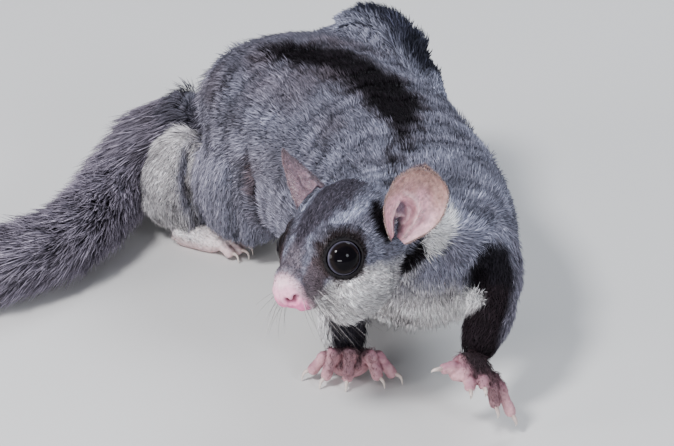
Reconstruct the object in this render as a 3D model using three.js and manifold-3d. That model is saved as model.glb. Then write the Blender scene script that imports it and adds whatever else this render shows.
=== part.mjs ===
// A sugar glider, life size, in millimetres, +Z up, standing in a low crouch on the floor.
//
// The animal looks towards -Y and -X. Its body curves from the chest near the origin back to
// the rump at +Y and -X, and its tail lies along the floor towards -X.
// The short fur isn't modelled: each form reaches out to the ends of that fur. The long fur of
// the tail and of the left membrane's fringe is built as locks over a thinner core.
// Every named part is one closed solid, with a thin gap where it meets its neighbour.

import * as THREE from "three";
import { mergeVertices } from "three/addons/utils/BufferGeometryUtils.js";
import Module from "manifold-3d";

const wasm = await Module();
wasm.setup();

// Driving sizes
const GAP = 0.3; // between parts that touch
const CUT = 0.5; // how much a form is grown before it cuts its neighbour
const FLOOR = 0; // height of the soles and of the tail's underside
const EYE_RADIUS = 5.1;
const LID_RADIUS = 5.15; // middle of the lid's ring round the eye's axis
const LID_THICKNESS = 0.8;
const EAR_HEIGHT = 20.5;
const EAR_HALF_WIDTH = 8.4;
const EAR_CUP = 5.2; // how deep the ear's hollow is
const EAR_THICKNESS = 0.9;
const CLAW_LENGTH = 3;
const CLAW_RADIUS = 0.62;
const FOOT_LENGTHENING = 1.15; // length of a hind foot against its stations
const HEAD_BACK = -17; // where the head ends and the neck begins, in the head's frame

// Where the head is, and how it is turned, from looking straight along -Y
const HEAD_PLACE = new THREE.Vector3(-3.3, -13.1, 45);
const HEAD_TURN = 39.6; // degrees, towards -X
const HEAD_DIP = 2; // degrees, nose down
const HEAD_ROLL = 9; // degrees, left side up

const COLOURS = {
  grey_fur: 0x8a8a92,
  dark_fur: 0x2e2a2c,
  pale_fur: 0xd9d3cd,
  tail_fur: 0x6b6870,
  skin: 0xc98f8f,
  ear: 0xc79a8c,
  nose: 0xe0a3ab,
  eye: 0x0a0a0c,
};

// Vector helpers

const UP = [0, 0, 1];
const vec = (p) => new THREE.Vector3(p[0], p[1], p[2]);
const mix = THREE.MathUtils.lerp;
const between = (a, b, t) => a.map((value, i) => mix(value, b[i], t));
const plus = (a, b, scale = 1) => a.map((value, i) => value + scale * b[i]);
const unit = (p) => vec(p).normalize().toArray();

// A repeatable draw between -1 and 1
function seeded(seed) {
  let state = seed * 7919;
  return () => {
    state = (state * 16807) % 2147483647;
    return (state / 2147483647) * 2 - 1;
  };
}

// Solids from geometries

// A three.js geometry as a solid, turned inside out where its faces point inwards.
function solid(geometry) {
  const bare = geometry.clone();
  bare.deleteAttribute("normal");
  bare.deleteAttribute("uv");
  const merged = mergeVertices(bare, 1e-4);
  const triVerts = new Uint32Array(merged.index.array);
  const make = () =>
    new wasm.Manifold(
      new wasm.Mesh({
        numProp: 3,
        vertProperties: merged.attributes.position.array,
        triVerts,
      }),
    );
  const made = make();
  if (made.volume() >= 0) return made;
  for (let i = 0; i < triVerts.length; i += 3) {
    [triVerts[i + 1], triVerts[i + 2]] = [triVerts[i + 2], triVerts[i + 1]];
  }
  return make();
}

const join = (pieces) => pieces.reduce((all, piece) => all.add(piece));

// The largest closed surface of a solid, so that no loose scrap or sealed hollow is left.
function largest(body) {
  const pieces = body.decompose();
  return pieces.reduce((a, b) => (a.volume() > b.volume() ? a : b));
}

function asMesh(body, name, colour, roughness = 0.85) {
  const data = largest(body).getMesh();
  const positions = new Float32Array(data.numVert * 3);
  for (let i = 0; i < data.numVert; i += 1) {
    const start = i * data.numProp;
    positions.set(data.vertProperties.subarray(start, start + 3), i * 3);
  }
  const geometry = new THREE.BufferGeometry();
  geometry.setAttribute("position", new THREE.BufferAttribute(positions, 3));
  geometry.setIndex(new THREE.BufferAttribute(data.triVerts, 1));
  geometry.computeVertexNormals();
  const material = new THREE.MeshStandardMaterial({
    color: COLOURS[colour],
    roughness,
    metalness: 0,
  });
  const mesh = new THREE.Mesh(geometry, material);
  mesh.name = name;
  return mesh;
}

// Forms

// A smooth body swept through stations [x, y, z, half width, top, bottom]. The poles of a
// sphere become its ends, and blunt sets how full the ends are. ripple(t, angle) scales the
// section, and grow makes the whole form larger on every side.
function sweep(stations, options = {}, grow = 0) {
  const {
    sides = 12,
    rings = 12,
    up = [0, 0, 1],
    blunt = 5,
    power = 2,
    ripple = () => 1,
  } = options;
  const centres = new THREE.CatmullRomCurve3(
    stations.map((s) => new THREE.Vector3(s[0], s[1], s[2])),
    false,
    "catmullrom",
  );
  const sizes = new THREE.CatmullRomCurve3(
    stations.map((s) => new THREE.Vector3(s[3], s[4] ?? s[3], s[5] ?? s[4] ?? s[3])),
    false,
    "catmullrom",
  );
  const geometry = new THREE.SphereGeometry(1, sides, rings);
  const position = geometry.attributes.position;
  const upward = vec(up);
  for (let i = 0; i < position.count; i += 1) {
    const ring = Math.floor(i / (sides + 1));
    const angle = ((i % (sides + 1)) / sides) * 2 * Math.PI;
    const even = ring / rings;
    const t = mix(even, (1 - Math.cos(Math.PI * even)) / 2, 0.7);
    const centre = centres.getPoint(t);
    const along = centres.getTangent(t);
    const side = new THREE.Vector3().crossVectors(along, upward).normalize();
    const top = new THREE.Vector3().crossVectors(side, along);
    const size = sizes.getPoint(t);
    const end = Math.sqrt(Math.max(0, 1 - Math.abs(2 * t - 1) ** blunt));
    const c = Math.cos(angle);
    const s = Math.sin(angle);
    const round = (value) => Math.sign(value) * Math.abs(value) ** (2 / power);
    const bulge = end * ripple(t, angle);
    const lateral = round(c) * (size.x * bulge + grow);
    const vertical = round(s) * ((s > 0 ? size.y : size.z) * bulge + grow);
    centre.addScaledVector(side, lateral).addScaledVector(top, vertical);
    const cap = (even > 0.5 ? 1 : -1) * grow * (1 - end);
    centre.addScaledVector(along, cap);
    if (ring === 0 || ring === rings) {
      centre.copy(centres.getPoint(t)).addScaledVector(along, cap);
    }
    position.setXYZ(i, centre.x, centre.y, centre.z);
  }
  return solid(geometry);
}

// An ellipsoid with its middle and its three radii, turned by Euler angles in degrees.
function ellipsoid(centre, radii, turn = [0, 0, 0], detail = [16, 10], grow = 0) {
  const geometry = new THREE.SphereGeometry(1, detail[0], detail[1]);
  geometry.rotateX(Math.PI / 2);
  geometry.scale(radii[0] + grow, radii[1] + grow, radii[2] + grow);
  const angles = turn.map((degrees) => THREE.MathUtils.degToRad(degrees));
  geometry.applyMatrix4(new THREE.Matrix4().makeRotationFromEuler(new THREE.Euler(...angles)));
  geometry.translate(centre[0], centre[1], centre[2]);
  return solid(geometry);
}

// A flat, tapered lock of long fur along four points from its root to its tip. Its root is
// narrow, it is widest past its middle and outward is the side that shows.
const LOCK_TAPER = [0.3, 0.82, 1, 0.25];
const LOCK = { sides: 4, rings: 4, blunt: 10 };

function lockForm(points, outward, halfWidth, halfThickness, grow = 0) {
  const stations = points.map((p, i) => {
    const thickness = halfThickness * Math.sqrt(LOCK_TAPER[i]);
    return [p.x, p.y, p.z, halfWidth * LOCK_TAPER[i], thickness, thickness];
  });
  return sweep(stations, { ...LOCK, up: outward.toArray() }, grow);
}

// Torso, in world space, from the front of the chest to the root of the tail

const TORSO = [
  [20.5, -3, 33, 14, 10, 18],
  [20.5, 6, 34, 20, 15.5, 23],
  [20, 20, 33.5, 25, 18.5, 23],
  [16, 40, 33, 26, 20, 21.5],
  [8.5, 58, 32.5, 27, 21.5, 22],
  [-1.5, 74, 32.5, 28.5, 23.5, 22],
  [-13, 88, 31, 28, 24.5, 20.5],
  [-25, 98, 28, 22, 21, 16.5],
  [-36, 102, 24.5, 14, 15, 11.5],
];
// Planes across the torso, where the chest and the belly end
const CHEST_END = { normal: unit([-0.25, 1, 0]), offset: 31 };
const BELLY_END = { normal: unit([-0.66, 0.75, 0]), offset: 62 };
const torsoForm = (grow) =>
  sweep(TORSO, { sides: 26, rings: 24, blunt: 7, power: 2.15 }, grow);

// Neck, from inside the back of the head to the shoulders

const NECK = [
  [2, -6, 42, 12.5, 11, 13],
  [9, 3, 42, 14.5, 12, 14],
  [15, 13, 39, 18, 14, 15],
  [19, 24, 35, 20, 16, 16],
];
const neckForm = (grow) => sweep(NECK, { sides: 18, rings: 8, blunt: 9 }, grow);

// Head, in its own frame: +X is forward, +Y is its left and the origin is between the eyes

const HEAD = [
  [-25, 0, -1, 11, 10, 15],
  [-19, 0, -0.5, 12.8, 12, 19],
  [-11, 0, 0, 13.2, 12.8, 22],
  [-4, 0, 0.2, 11.4, 11.6, 22],
  [1.5, 0, 0, 8.8, 9.4, 21],
  [7, 0, -1.3, 6.8, 6.7, 17.2],
  [11.6, 0, -3.7, 5.2, 4.6, 11.8],
  [15, 0, -6, 3.8, 3.5, 6.4],
  [17, 0, -7.2, 2.8, 2.8, 3.4],
];
const CHEEK = { centre: [-4, 8, -9], radii: [9.5, 5.6, 7.6] };
const BROW = { centre: [0, 5.4, 4.2], radii: [5.8, 3, 3.4] };
const MUZZLE_PAD = { centre: [10.6, 2.8, -8], radii: [4.8, 2.8, 3.3] };

const mirrored = (p, side) => [p[0], p[1] * side, p[2]];

function headForm(grow) {
  const pieces = [sweep(HEAD, { sides: 24, rings: 20, blunt: 6 }, grow)];
  for (const side of [1, -1]) {
    for (const bump of [CHEEK, BROW, MUZZLE_PAD]) {
      pieces.push(
        ellipsoid(mirrored(bump.centre, side), bump.radii, [0, 0, 0], [12, 8], grow),
      );
    }
  }
  return join(pieces);
}

// Eyes and lids

const EYE_LOOK = unit([0.46, 0.84, 0.24]); // the left eye's axis
const EYE_FRONT = [4.2, 11.1, 0.7]; // the front of the left cornea

const eyeCentre = (side) => mirrored(plus(EYE_FRONT, EYE_LOOK, -EYE_RADIUS), side);

function eyeForm(side, grow) {
  const radius = EYE_RADIUS;
  return ellipsoid(eyeCentre(side), [radius, radius, radius], [0, 0, 0], [16, 10], grow);
}

function lidForm(side) {
  const geometry = new THREE.TorusGeometry(LID_RADIUS, LID_THICKNESS, 6, 20);
  const look = mirrored(EYE_LOOK, side);
  geometry.applyQuaternion(
    new THREE.Quaternion().setFromUnitVectors(new THREE.Vector3(0, 0, 1), vec(look)),
  );
  const middle = plus(eyeCentre(side), look, 2.2);
  geometry.translate(...middle);
  return solid(geometry);
}

// Ears: a curved leaf, hollow in front, wider above than at its root

const EAR_ROOT = [-10.5, 13.8, 0.2];
const EAR_RISE = unit([-0.16, 0.5, 0.8]);
const EAR_FACE = unit([0.62, 0.74, -0.1]);

function earForm(side, grow) {
  const rise = mirrored(EAR_RISE, side);
  const towards = vec(mirrored(EAR_FACE, side));
  const face = towards.addScaledVector(vec(rise), -towards.dot(vec(rise))).normalize();
  const across = new THREE.Vector3().crossVectors(vec(rise), face);
  const geometry = new THREE.BoxGeometry(2, 1, 1, 8, 9, 1);
  const position = geometry.attributes.position;
  for (let i = 0; i < position.count; i += 1) {
    const v = position.getX(i);
    const h = Math.sin((Math.PI / 2) * (position.getY(i) + 0.5));
    const inner = position.getZ(i) > 0;
    const outline = 0.3 + 0.7 * Math.sin((Math.PI / 2) * Math.min(1, h / 0.5)) ** 0.8;
    const roundTop = Math.sqrt(Math.max(0, 1 - Math.max(0, (h - 0.5) / 0.5) ** 3));
    const halfWidth = EAR_HALF_WIDTH * outline * Math.max(roundTop, 0.28);
    const cup = EAR_CUP * (1 - v * v) * (1 - 0.6 * h) + 1.6 * h * h;
    const thickness = (EAR_THICKNESS + 2 * grow) * (inner ? 0.5 : -0.5);
    const stretch = 1 + grow / EAR_HALF_WIDTH;
    const point = vec(mirrored(EAR_ROOT, side))
      .addScaledVector(vec(rise), (h * EAR_HEIGHT - 1.5) * stretch)
      .addScaledVector(across, v * (halfWidth + grow) - 0.9 * side * h)
      .addScaledVector(face, thickness - cup);
    position.setXYZ(i, point.x, point.y, point.z);
  }
  return solid(geometry);
}

// The line of the mouth and the nostrils are cut into the head and the nose

const NOSE_START = 14; // forward of this the snout is the bare, pink nose
const MOUTH = [
  [18.2, 0, -10.4, 1.4, 0.35, 0.35],
  [14.4, 4.2, -10.6, 1.4, 0.35, 0.35],
  [10.4, 6.2, -10.2, 1.4, 0.35, 0.35],
  [6.4, 7.8, -9.4, 1.2, 0.3, 0.3],
];
const NOSTRIL = [
  [19, 1.6, -6.6, 0.7, 0.7, 0.7],
  [17.2, 2.4, -7, 0.8, 0.7, 0.7],
  [16.2, 3.7, -6.4, 0.6, 0.4, 0.4],
];

const onSide = (stations, side) => stations.map((s) => [s[0], s[1] * side, ...s.slice(2)]);
const mouthCut = (side) => sweep(onSide(MOUTH, side), { sides: 6, rings: 8, blunt: 20 });
const nostrilCut = (side) => sweep(onSide(NOSTRIL, side), { sides: 6, rings: 6, blunt: 8 });

function headParts() {
  const eyes = [1, -1].map((side) => eyeForm(side, 0));
  let whole = join([headForm(0), lidForm(1), lidForm(-1)]);
  for (const side of [1, -1]) {
    whole = whole.subtract(eyeForm(side, CUT)).subtract(mouthCut(side));
    whole = whole.subtract(nostrilCut(side));
  }
  const back = [-1, 0, 0];
  const ears = [1, -1].map((side) => earForm(side, 0).subtract(headForm(CUT)));
  return {
    head: whole.trimByPlane(back, -(NOSE_START - GAP / 2)),
    nose: whole.trimByPlane([1, 0, 0], NOSE_START + GAP / 2),
    eyes,
    ears,
  };
}

// Limbs, in world space. Each is a chain of swept forms.

const ARM_RIGHT = {
  upper: [
    [5, 21, 34, 8.5, 9.5, 9.5],
    [1, 17, 25, 8, 9, 9],
    [0, 14, 17, 6.5, 7, 7],
    [0.5, 12, 13, 5, 5.5, 5.5],
  ],
  fore: [
    [0.4, 13, 17, 6, 6, 6],
    [1.4, 10, 12, 6.2, 6, 6],
    [2.4, 6.6, 8.4, 4.6, 4.6, 4.6],
    [3, 4.4, 6, 3.6, 3.4, 3.4],
  ],
};
const ARM_LEFT = {
  upper: [
    [34, 17, 37, 9, 10, 10],
    [37, 9, 32, 8.5, 9.5, 9.5],
    [39, 1, 27, 7.2, 7.6, 7.6],
    [39, -3, 25, 5.6, 5.6, 5.6],
  ],
  fore: [
    [39.6, 0, 28, 6, 6.4, 6.4],
    [37.8, -7, 24.5, 6, 6.2, 6.2],
    [35, -14, 20.8, 5.4, 5.2, 5.2],
    [32.6, -19, 18.6, 4.8, 3.8, 3.8],
  ],
};
const LEG_RIGHT = {
  thigh: [
    [-19, 84, 37, 8, 8, 8],
    [-23, 76, 30, 13, 13, 13],
    [-24, 71, 21, 15.2, 14, 14],
    [-24.5, 69, 12, 13.4, 12, 12],
    [-26, 70, 6, 9, 8, 8],
  ],
  shank: [
    [-36, 87, 27, 6.5, 7, 7],
    [-43, 84, 20, 9, 9, 9],
    [-45.5, 80.5, 11, 8.6, 8.6, 8.6],
    [-44, 78.5, 4, 5.6, 5.4, 5.4],
  ],
};
const LEG_LEFT = {
  thigh: [
    [-10, 95, 42, 9, 9, 9],
    [-3, 100, 41, 14, 14, 14],
    [5, 102, 34, 15, 15, 15],
    [11, 100, 21, 12, 12, 12],
    [13, 98, 10, 7.5, 7.5, 7.5],
  ],
  shank: [
    [14, 99, 13, 7, 7, 7],
    [9, 106, 10, 7.4, 7.4, 7.4],
    [2, 111, 7, 6, 6, 6],
    [-2, 113, 5, 4.6, 4.6, 4.6],
  ],
};
const LIMB = { sides: 12, rings: 9, up: [0, 1, 0.2], blunt: 5 };
const limbForm = (stations, grow) => sweep(stations, LIMB, grow);
const placeLimb = (name, stations, colour, blockers) =>
  place(name, (grow) => limbForm(stations, grow), colour, blockers);

// Gliding membranes, folded along each flank from the elbow to the ankle

const MEMBRANE_LEFT = [
  [41, 5, 26, 3.5, 7, 6],
  [43.4, 20, 29, 3.8, 9, 8],
  [40, 38, 33.5, 4.2, 9, 9],
  [32.6, 55, 38.5, 4.6, 7.6, 9.5],
  [25.5, 71, 42.5, 5.2, 6, 10],
  [20.5, 85, 45.5, 5.6, 6.2, 10],
  [14, 97, 49, 6.2, 6.8, 11],
  [4, 103, 51.5, 6.6, 6.8, 11],
  [-8, 103, 50, 6, 6.5, 9],
];
const MEMBRANE_RIGHT = [
  [-7, 22, 24, 4, 8, 8],
  [-9.5, 36, 26, 5, 10, 9],
  [-14, 50, 26, 5, 11, 10],
  [-20, 61, 26, 5.5, 12, 12],
  [-28, 70, 25, 6, 12, 14],
];
// The fringe of the left membrane: two rows of locks along its upper edge, which stand up and
// back from it. side is how far a row leans out, in degrees.
const FRINGE = {
  from: 0.44,
  to: 0.86,
  locks: 7,
  rows: [{ side: 8 }, { side: 50 }],
  steps: [
    [0, -2.6],
    [2.8, -0.6],
    [6.4, 1.2],
    [9.4, 2],
  ],
  halfWidth: 2.8,
  halfThickness: 0.7,
};
const scallops = (count, depth) => (t) => 1 + depth * Math.sin(count * 2 * Math.PI * t);
function fringe(grow) {
  const centres = new THREE.CatmullRomCurve3(MEMBRANE_LEFT.map(vec), false, "catmullrom");
  const sizes = new THREE.CatmullRomCurve3(
    MEMBRANE_LEFT.map((s) => new THREE.Vector3(s[3], s[4], s[5])),
    false,
    "catmullrom",
  );
  const { from, to, locks, rows, steps, halfWidth, halfThickness } = FRINGE;
  const random = seeded(5);
  const made = [];
  rows.forEach((row, r) => {
    for (let i = 0; i < locks; i += 1) {
      const t = mix(from, to, (i + 0.5 * r) / (locks - 0.5));
      const along = centres.getTangent(t);
      const side = new THREE.Vector3().crossVectors(along, vec(UP)).normalize();
      const top = new THREE.Vector3().crossVectors(side, along);
      const size = sizes.getPoint(t);
      const lean = THREE.MathUtils.degToRad(row.side + 9 * random());
      const outward = top.clone().multiplyScalar(Math.cos(lean));
      outward.addScaledVector(side, Math.sin(lean));
      const edge = Math.hypot(size.y * Math.cos(lean), size.x * Math.sin(lean));
      const longer = 1 + 0.14 * random();
      const points = steps.map(([back, out]) =>
        centres
          .getPoint(t)
          .addScaledVector(outward, edge + out * longer)
          .addScaledVector(along, back * longer),
      );
      made.push(lockForm(points, outward, halfWidth, halfThickness, grow));
    }
  });
  return made;
}
const FOLD_LEFT = { sides: 10, rings: 26, blunt: 6, ripple: scallops(7, 0.1) };
const membraneLeftForm = (grow) => join([sweep(MEMBRANE_LEFT, FOLD_LEFT, grow), ...fringe(grow)]);
const membraneRightForm = (grow) =>
  sweep(MEMBRANE_RIGHT, { sides: 12, rings: 18, blunt: 6, ripple: scallops(4, 0.08) }, grow);

// Digits and claws

// A bent digit from its root to the end of its pad, arched towards dorsal, with a claw that
// leaves the end above the pad and hooks down to its tip.
function digit({ root, end, dorsal, arch, radius, claw = CLAW_LENGTH, hook = 0.75 }) {
  const away = unit(plus(end, root, -1));
  const knuckle = plus(between(root, end, 0.42), dorsal, arch);
  const last = plus(between(root, end, 0.8), dorsal, arch * 0.45);
  const bones = [
    [...root, radius * 1.1],
    [...knuckle, radius * 1.12],
    [...last, radius * 0.9],
    [...end, radius * 1.05],
  ];
  const nail = plus(end, dorsal, radius * 0.45);
  const middle = plus(plus(nail, away, claw * 0.55), dorsal, 0.12 * claw);
  const tip = plus(plus(nail, away, claw * 0.85), dorsal, -hook * claw);
  const hookStations = [
    [...plus(nail, away, -0.9), CLAW_RADIUS * 1.15],
    [...middle, CLAW_RADIUS],
    [...tip, CLAW_RADIUS * 0.35],
  ];
  const up = plus(dorsal, [0.013, 0.017, 0.011]);
  return join([
    sweep(bones, { sides: 6, rings: 5, up, blunt: 8 }),
    sweep(hookStations, { sides: 4, rings: 4, up, blunt: 12 }),
  ]);
}

// Right hand, standing with its five digits spread

const HAND_RIGHT = {
  palm: [
    [3, 6.5, 6.6, 3.4, 3.2, 3.2],
    [3.2, 4, 4.6, 5, 3.4, 5],
    [3.4, 1.4, 3.6, 5.4, 3, 4.2],
    [3.6, -0.6, 3.2, 4, 2.4, 3.7],
  ],
  digits: [
    { root: [-0.6, 3.8, 4.4], end: [-6.8, 1.8, 1.6], arch: 2.6 },
    { root: [0.8, 2.2, 5], end: [-3, -1.4, 1.6], arch: 4.4 },
    { root: [3.6, 1.8, 5], end: [2.6, -2.4, 1.6], arch: 5 },
    { root: [6.2, 2.2, 4.8], end: [10.4, -1.2, 1.6], arch: 3.8 },
    { root: [7.2, 3.8, 4.4], end: [14.4, 0.2, 1.6], arch: 2.6 },
  ],
};

function handRight() {
  const pieces = [sweep(HAND_RIGHT.palm, { sides: 10, rings: 7, up: UP, blunt: 5 })];
  for (const each of HAND_RIGHT.digits) {
    pieces.push(digit({ ...each, dorsal: UP, radius: 2.1 }));
  }
  return join(pieces).trimByPlane(UP, FLOOR);
}

// Left hand, reaching down with its digits loose

const HAND_LEFT = {
  dorsal: unit([0.1, -0.72, 0.68]),
  palm: [
    [34.6, -19, 18.2, 3.6, 3.4, 3.4],
    [33, -21, 16.6, 5.4, 3, 3],
    [32.4, -22.6, 15.2, 6, 2.8, 2.8],
    [32.4, -23.6, 14, 4.6, 2.4, 2.4],
  ],
  digits: [
    { root: [29, -21.4, 17], end: [24.6, -24, 17.6], arch: 0.8 },
    { root: [31.5, -23.4, 14.6], end: [31.8, -27.4, 13.6], arch: 1.4 },
    { root: [34.6, -22.8, 15], end: [35.2, -27, 14], arch: 1.6 },
    { root: [36, -21.6, 14.6], end: [38.2, -25, 7.6], arch: 1.6 },
    { root: [37, -20.4, 15], end: [42.4, -23.4, 4.2], arch: 1.8 },
  ],
};

function handLeft() {
  const { dorsal, palm, digits } = HAND_LEFT;
  const pieces = [sweep(palm, { sides: 10, rings: 7, up: dorsal, blunt: 5 })];
  for (const each of digits) {
    pieces.push(digit({ ...each, dorsal, radius: 1.7 }));
  }
  return join(pieces).trimByPlane(UP, FLOOR);
}

// Hind feet. Both are flat on the floor, with the first toe spread inwards.

const FOOT = {
  sole: [
    [0, 0, 3.6, 3.6, 3.4, 4.2],
    [5, 0, 3.2, 3.8, 3, 3.8],
    [10, 0, 2.8, 4.2, 2.8, 3.4],
    [13.4, 0, 2.3, 3.9, 2.3, 2.9],
  ],
  toes: [
    { root: [6.5, 2, 2.6], end: [8.6, 7.2, 1.3], arch: 1, claw: 0.8, hook: 0.3 },
    { root: [11.5, 2.4, 2.4], end: [17, 3.4, 1.3], arch: 1.7 },
    { root: [12, 0.8, 2.4], end: [18.4, 1, 1.3], arch: 1.8 },
    { root: [12, -0.9, 2.4], end: [18.6, -1.6, 1.3], arch: 1.8 },
    { root: [11.5, -2.4, 2.4], end: [17.2, -4.2, 1.3], arch: 1.7 },
  ],
};

const FEET = {
  right: { heel: [-44.5, 77.5], heading: -24, inner: 1 },
  left: { heel: [-1, 112], heading: -47, inner: -1 },
};

// A foot with its heel at a place on the floor, pointing along a heading in degrees from +X.
// inner is 1 where the first toe is on the heading's left.
function footForm({ heel, heading, inner }) {
  const flip = (p) => [p[0], p[1] * inner, ...p.slice(2)];
  const pieces = [sweep(FOOT.sole.map(flip), { sides: 10, rings: 8, up: UP, blunt: 5 })];
  for (const toe of FOOT.toes) {
    const placed = { ...toe, root: flip(toe.root), end: flip(toe.end) };
    pieces.push(digit({ ...placed, dorsal: UP, radius: 1.7 }));
  }
  return join(pieces)
    .scale([FOOT_LENGTHENING, 1, 1])
    .rotate([0, 0, heading])
    .translate([heel[0], heel[1], FLOOR])
    .trimByPlane(UP, FLOOR);
}

// Tail: it leaves the rump, comes down to the floor and trails away in a slow bend

const TAIL = [
  [-36, 102, 25],
  [-46, 103, 19],
  [-54, 98, 14],
  [-60, 88, 11],
  [-64, 76, 10.8],
  [-70, 62, 10.8],
  [-80, 50, 10.8],
  [-94, 41, 10.8],
  [-110, 38, 10.8],
  [-126, 42, 10.4],
  [-140, 51, 9.8],
  [-150, 64, 8.6],
  [-155, 78, 7.2],
];
const TAIL_SIZE = [11.5, 12, 12, 12, 12, 12, 12, 12, 12, 11.5, 11, 9.7, 8.2];

const TAIL_CORE = 0.48; // share of the tail's radius which is core
const TAIL_ROOT_CORE = 10; // the core's radius where it leaves the rump
const TAIL_ROOT_LENGTH = 26; // how far along the core is down to its share
const TAIL_END = 8; // how far the last locks reach past the end of the path
const TAIL_LOCKS = {
  first: 5,
  last: 16, // before the end of the path
  rows: 11,
  each: 6,
  length: 28,
  sunk: 1.4,
  halfWidth: 4.5,
  halfThickness: 0.75,
};
// The lengths of the tail, with the number of rows that each one carries
const TAIL_PIECES = [
  { name: "tail_base", rows: 3 },
  { name: "tail_bend", rows: 3 },
  { name: "tail_middle", rows: 3 },
  { name: "tail_tip", rows: 2 },
];

const tailCurve = new THREE.CatmullRomCurve3(TAIL.map(vec), false, "catmullrom");
const tailSizes = new THREE.CatmullRomCurve3(
  TAIL_SIZE.map((size) => new THREE.Vector3(size, 0, 0)),
  false,
  "catmullrom",
);
const tailLength = tailCurve.getLength();

// The tail's middle, direction, sideways and upward vectors and radius at a distance along it
function tailAt(distance) {
  const share = THREE.MathUtils.clamp(distance / tailLength, 0, 1);
  const along = tailCurve.getTangentAt(share);
  const past = distance - share * tailLength;
  const centre = tailCurve.getPointAt(share).addScaledVector(along, past);
  const side = new THREE.Vector3().crossVectors(along, vec(UP)).normalize();
  const top = new THREE.Vector3().crossVectors(side, along);
  const whole = tailSizes.getPoint(tailCurve.getUtoTmapping(share)).x;
  const radius = whole * (1 - (0.65 * Math.max(0, past)) / TAIL_END);
  return { centre, side, top, radius };
}

function coreRadius(distance) {
  const share = tailAt(distance).radius * TAIL_CORE;
  return mix(TAIL_ROOT_CORE, share, Math.min(1, distance / TAIL_ROOT_LENGTH));
}

function tailCore(from, to, grow = 0) {
  const steps = 7;
  const stations = [];
  for (let i = 0; i <= steps; i += 1) {
    const distance = mix(from, to, i / steps);
    const { centre } = tailAt(distance);
    stations.push([...centre.toArray(), coreRadius(distance)]);
  }
  return sweep(stations, { sides: 6, rings: 5, blunt: 60 }, grow);
}

const rowStart = (row) => {
  const { first, last, rows } = TAIL_LOCKS;
  return mix(first, tailLength - last, row / (rows - 1));
};

// One lock, which leaves the core and comes out to the tail's full radius
function tailLock(row, angle, random, grow) {
  const { length, sunk, halfWidth, halfThickness } = TAIL_LOCKS;
  const start = rowStart(row) + 1.2 * random();
  const reach = Math.min(length * (1 + 0.07 * random()), tailLength + TAIL_END - start);
  const twist = 0.1 * random();
  const outermost = 1 - 0.04 * (1 + random());
  const points = [0, 0.34, 0.68, 1].map((u) => {
    const { centre, side, top, radius } = tailAt(start + reach * u);
    const out = mix(coreRadius(start) - sunk, radius * outermost, u);
    const turned = angle + twist * u;
    centre.addScaledVector(side, out * Math.cos(turned));
    return centre.addScaledVector(top, out * Math.sin(turned));
  });
  const { side, top } = tailAt(start + reach / 2);
  const outward = side.multiplyScalar(Math.cos(angle)).addScaledVector(top, Math.sin(angle));
  const share = tailAt(start + reach / 2).radius / TAIL_SIZE[1];
  return lockForm(points, outward, halfWidth * share, halfThickness, grow);
}

// The locks of some rows round the core, each row turned by half a step
function tailRows(firstRow, count, grow = 0) {
  const { each } = TAIL_LOCKS;
  const made = [];
  for (let row = firstRow; row < firstRow + count; row += 1) {
    const random = seeded(row + 1);
    for (let i = 0; i < each; i += 1) {
      const angle = ((i + 0.5 * (row % 2)) / each) * 2 * Math.PI + 0.06 * random();
      made.push(tailLock(row, angle, random, grow));
    }
  }
  return made;
}

// Assembly. Each form is cut clear of the ones before it that it touches.

const headMatrix = new THREE.Matrix4();
{
  const turn = THREE.MathUtils.degToRad(-90 - HEAD_TURN);
  const dip = THREE.MathUtils.degToRad(HEAD_DIP);
  const roll = THREE.MathUtils.degToRad(HEAD_ROLL);
  headMatrix.makeRotationFromEuler(new THREE.Euler(roll, dip, turn, "ZYX"));
  headMatrix.setPosition(HEAD_PLACE);
}

const glider = new THREE.Group();
const headGroup = new THREE.Group();
headGroup.applyMatrix4(headMatrix);
glider.add(headGroup);

const toWorld = (body) => body.transform(headMatrix.toArray());

const parts = headParts();
headGroup.add(asMesh(parts.nose, "nose", "nose", 0.45));
headGroup.add(asMesh(parts.eyes[0], "eye_left", "eye", 0.08));
headGroup.add(asMesh(parts.eyes[1], "eye_right", "eye", 0.08));
headGroup.add(asMesh(parts.ears[0], "ear_left", "ear", 0.6));
headGroup.add(asMesh(parts.ears[1], "ear_right", "ear", 0.6));

headGroup.add(
  asMesh(parts.head.trimByPlane([1, 0, 0], HEAD_BACK + GAP / 2), "head", "grey_fur"),
);
const headWorld = toWorld(headForm(CUT).trimByPlane([1, 0, 0], HEAD_BACK - GAP / 2));
const earsWorld = toWorld(join([earForm(1, CUT), earForm(-1, CUT)]));

const torso = torsoForm(0);
const torsoGrown = torsoForm(CUT);
const ahead = (plane) => [plus([0, 0, 0], plane.normal, -1), GAP / 2 - plane.offset];
const behind = (plane) => [plane.normal, plane.offset + GAP / 2];
const chest = torso.trimByPlane(...ahead(CHEST_END));
const belly = torso.trimByPlane(...behind(CHEST_END)).trimByPlane(...ahead(BELLY_END));
const rump = torso.trimByPlane(...behind(BELLY_END));

// Cuts a form clear of the grown forms named, keeps it and adds its mesh.
function place(name, form, colour, blockers) {
  let body = form(0);
  for (const blocker of blockers) body = body.subtract(blocker);
  glider.add(asMesh(body, name, colour));
  return form(CUT);
}

glider.add(asMesh(chest.subtract(headWorld), "chest", "grey_fur"));
glider.add(asMesh(belly, "belly", "grey_fur"));
glider.add(asMesh(rump, "rump", "grey_fur"));
place("neck", neckForm, "grey_fur", [torsoGrown, headWorld, earsWorld]);
const neckGrown = neckForm(CUT);

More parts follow.
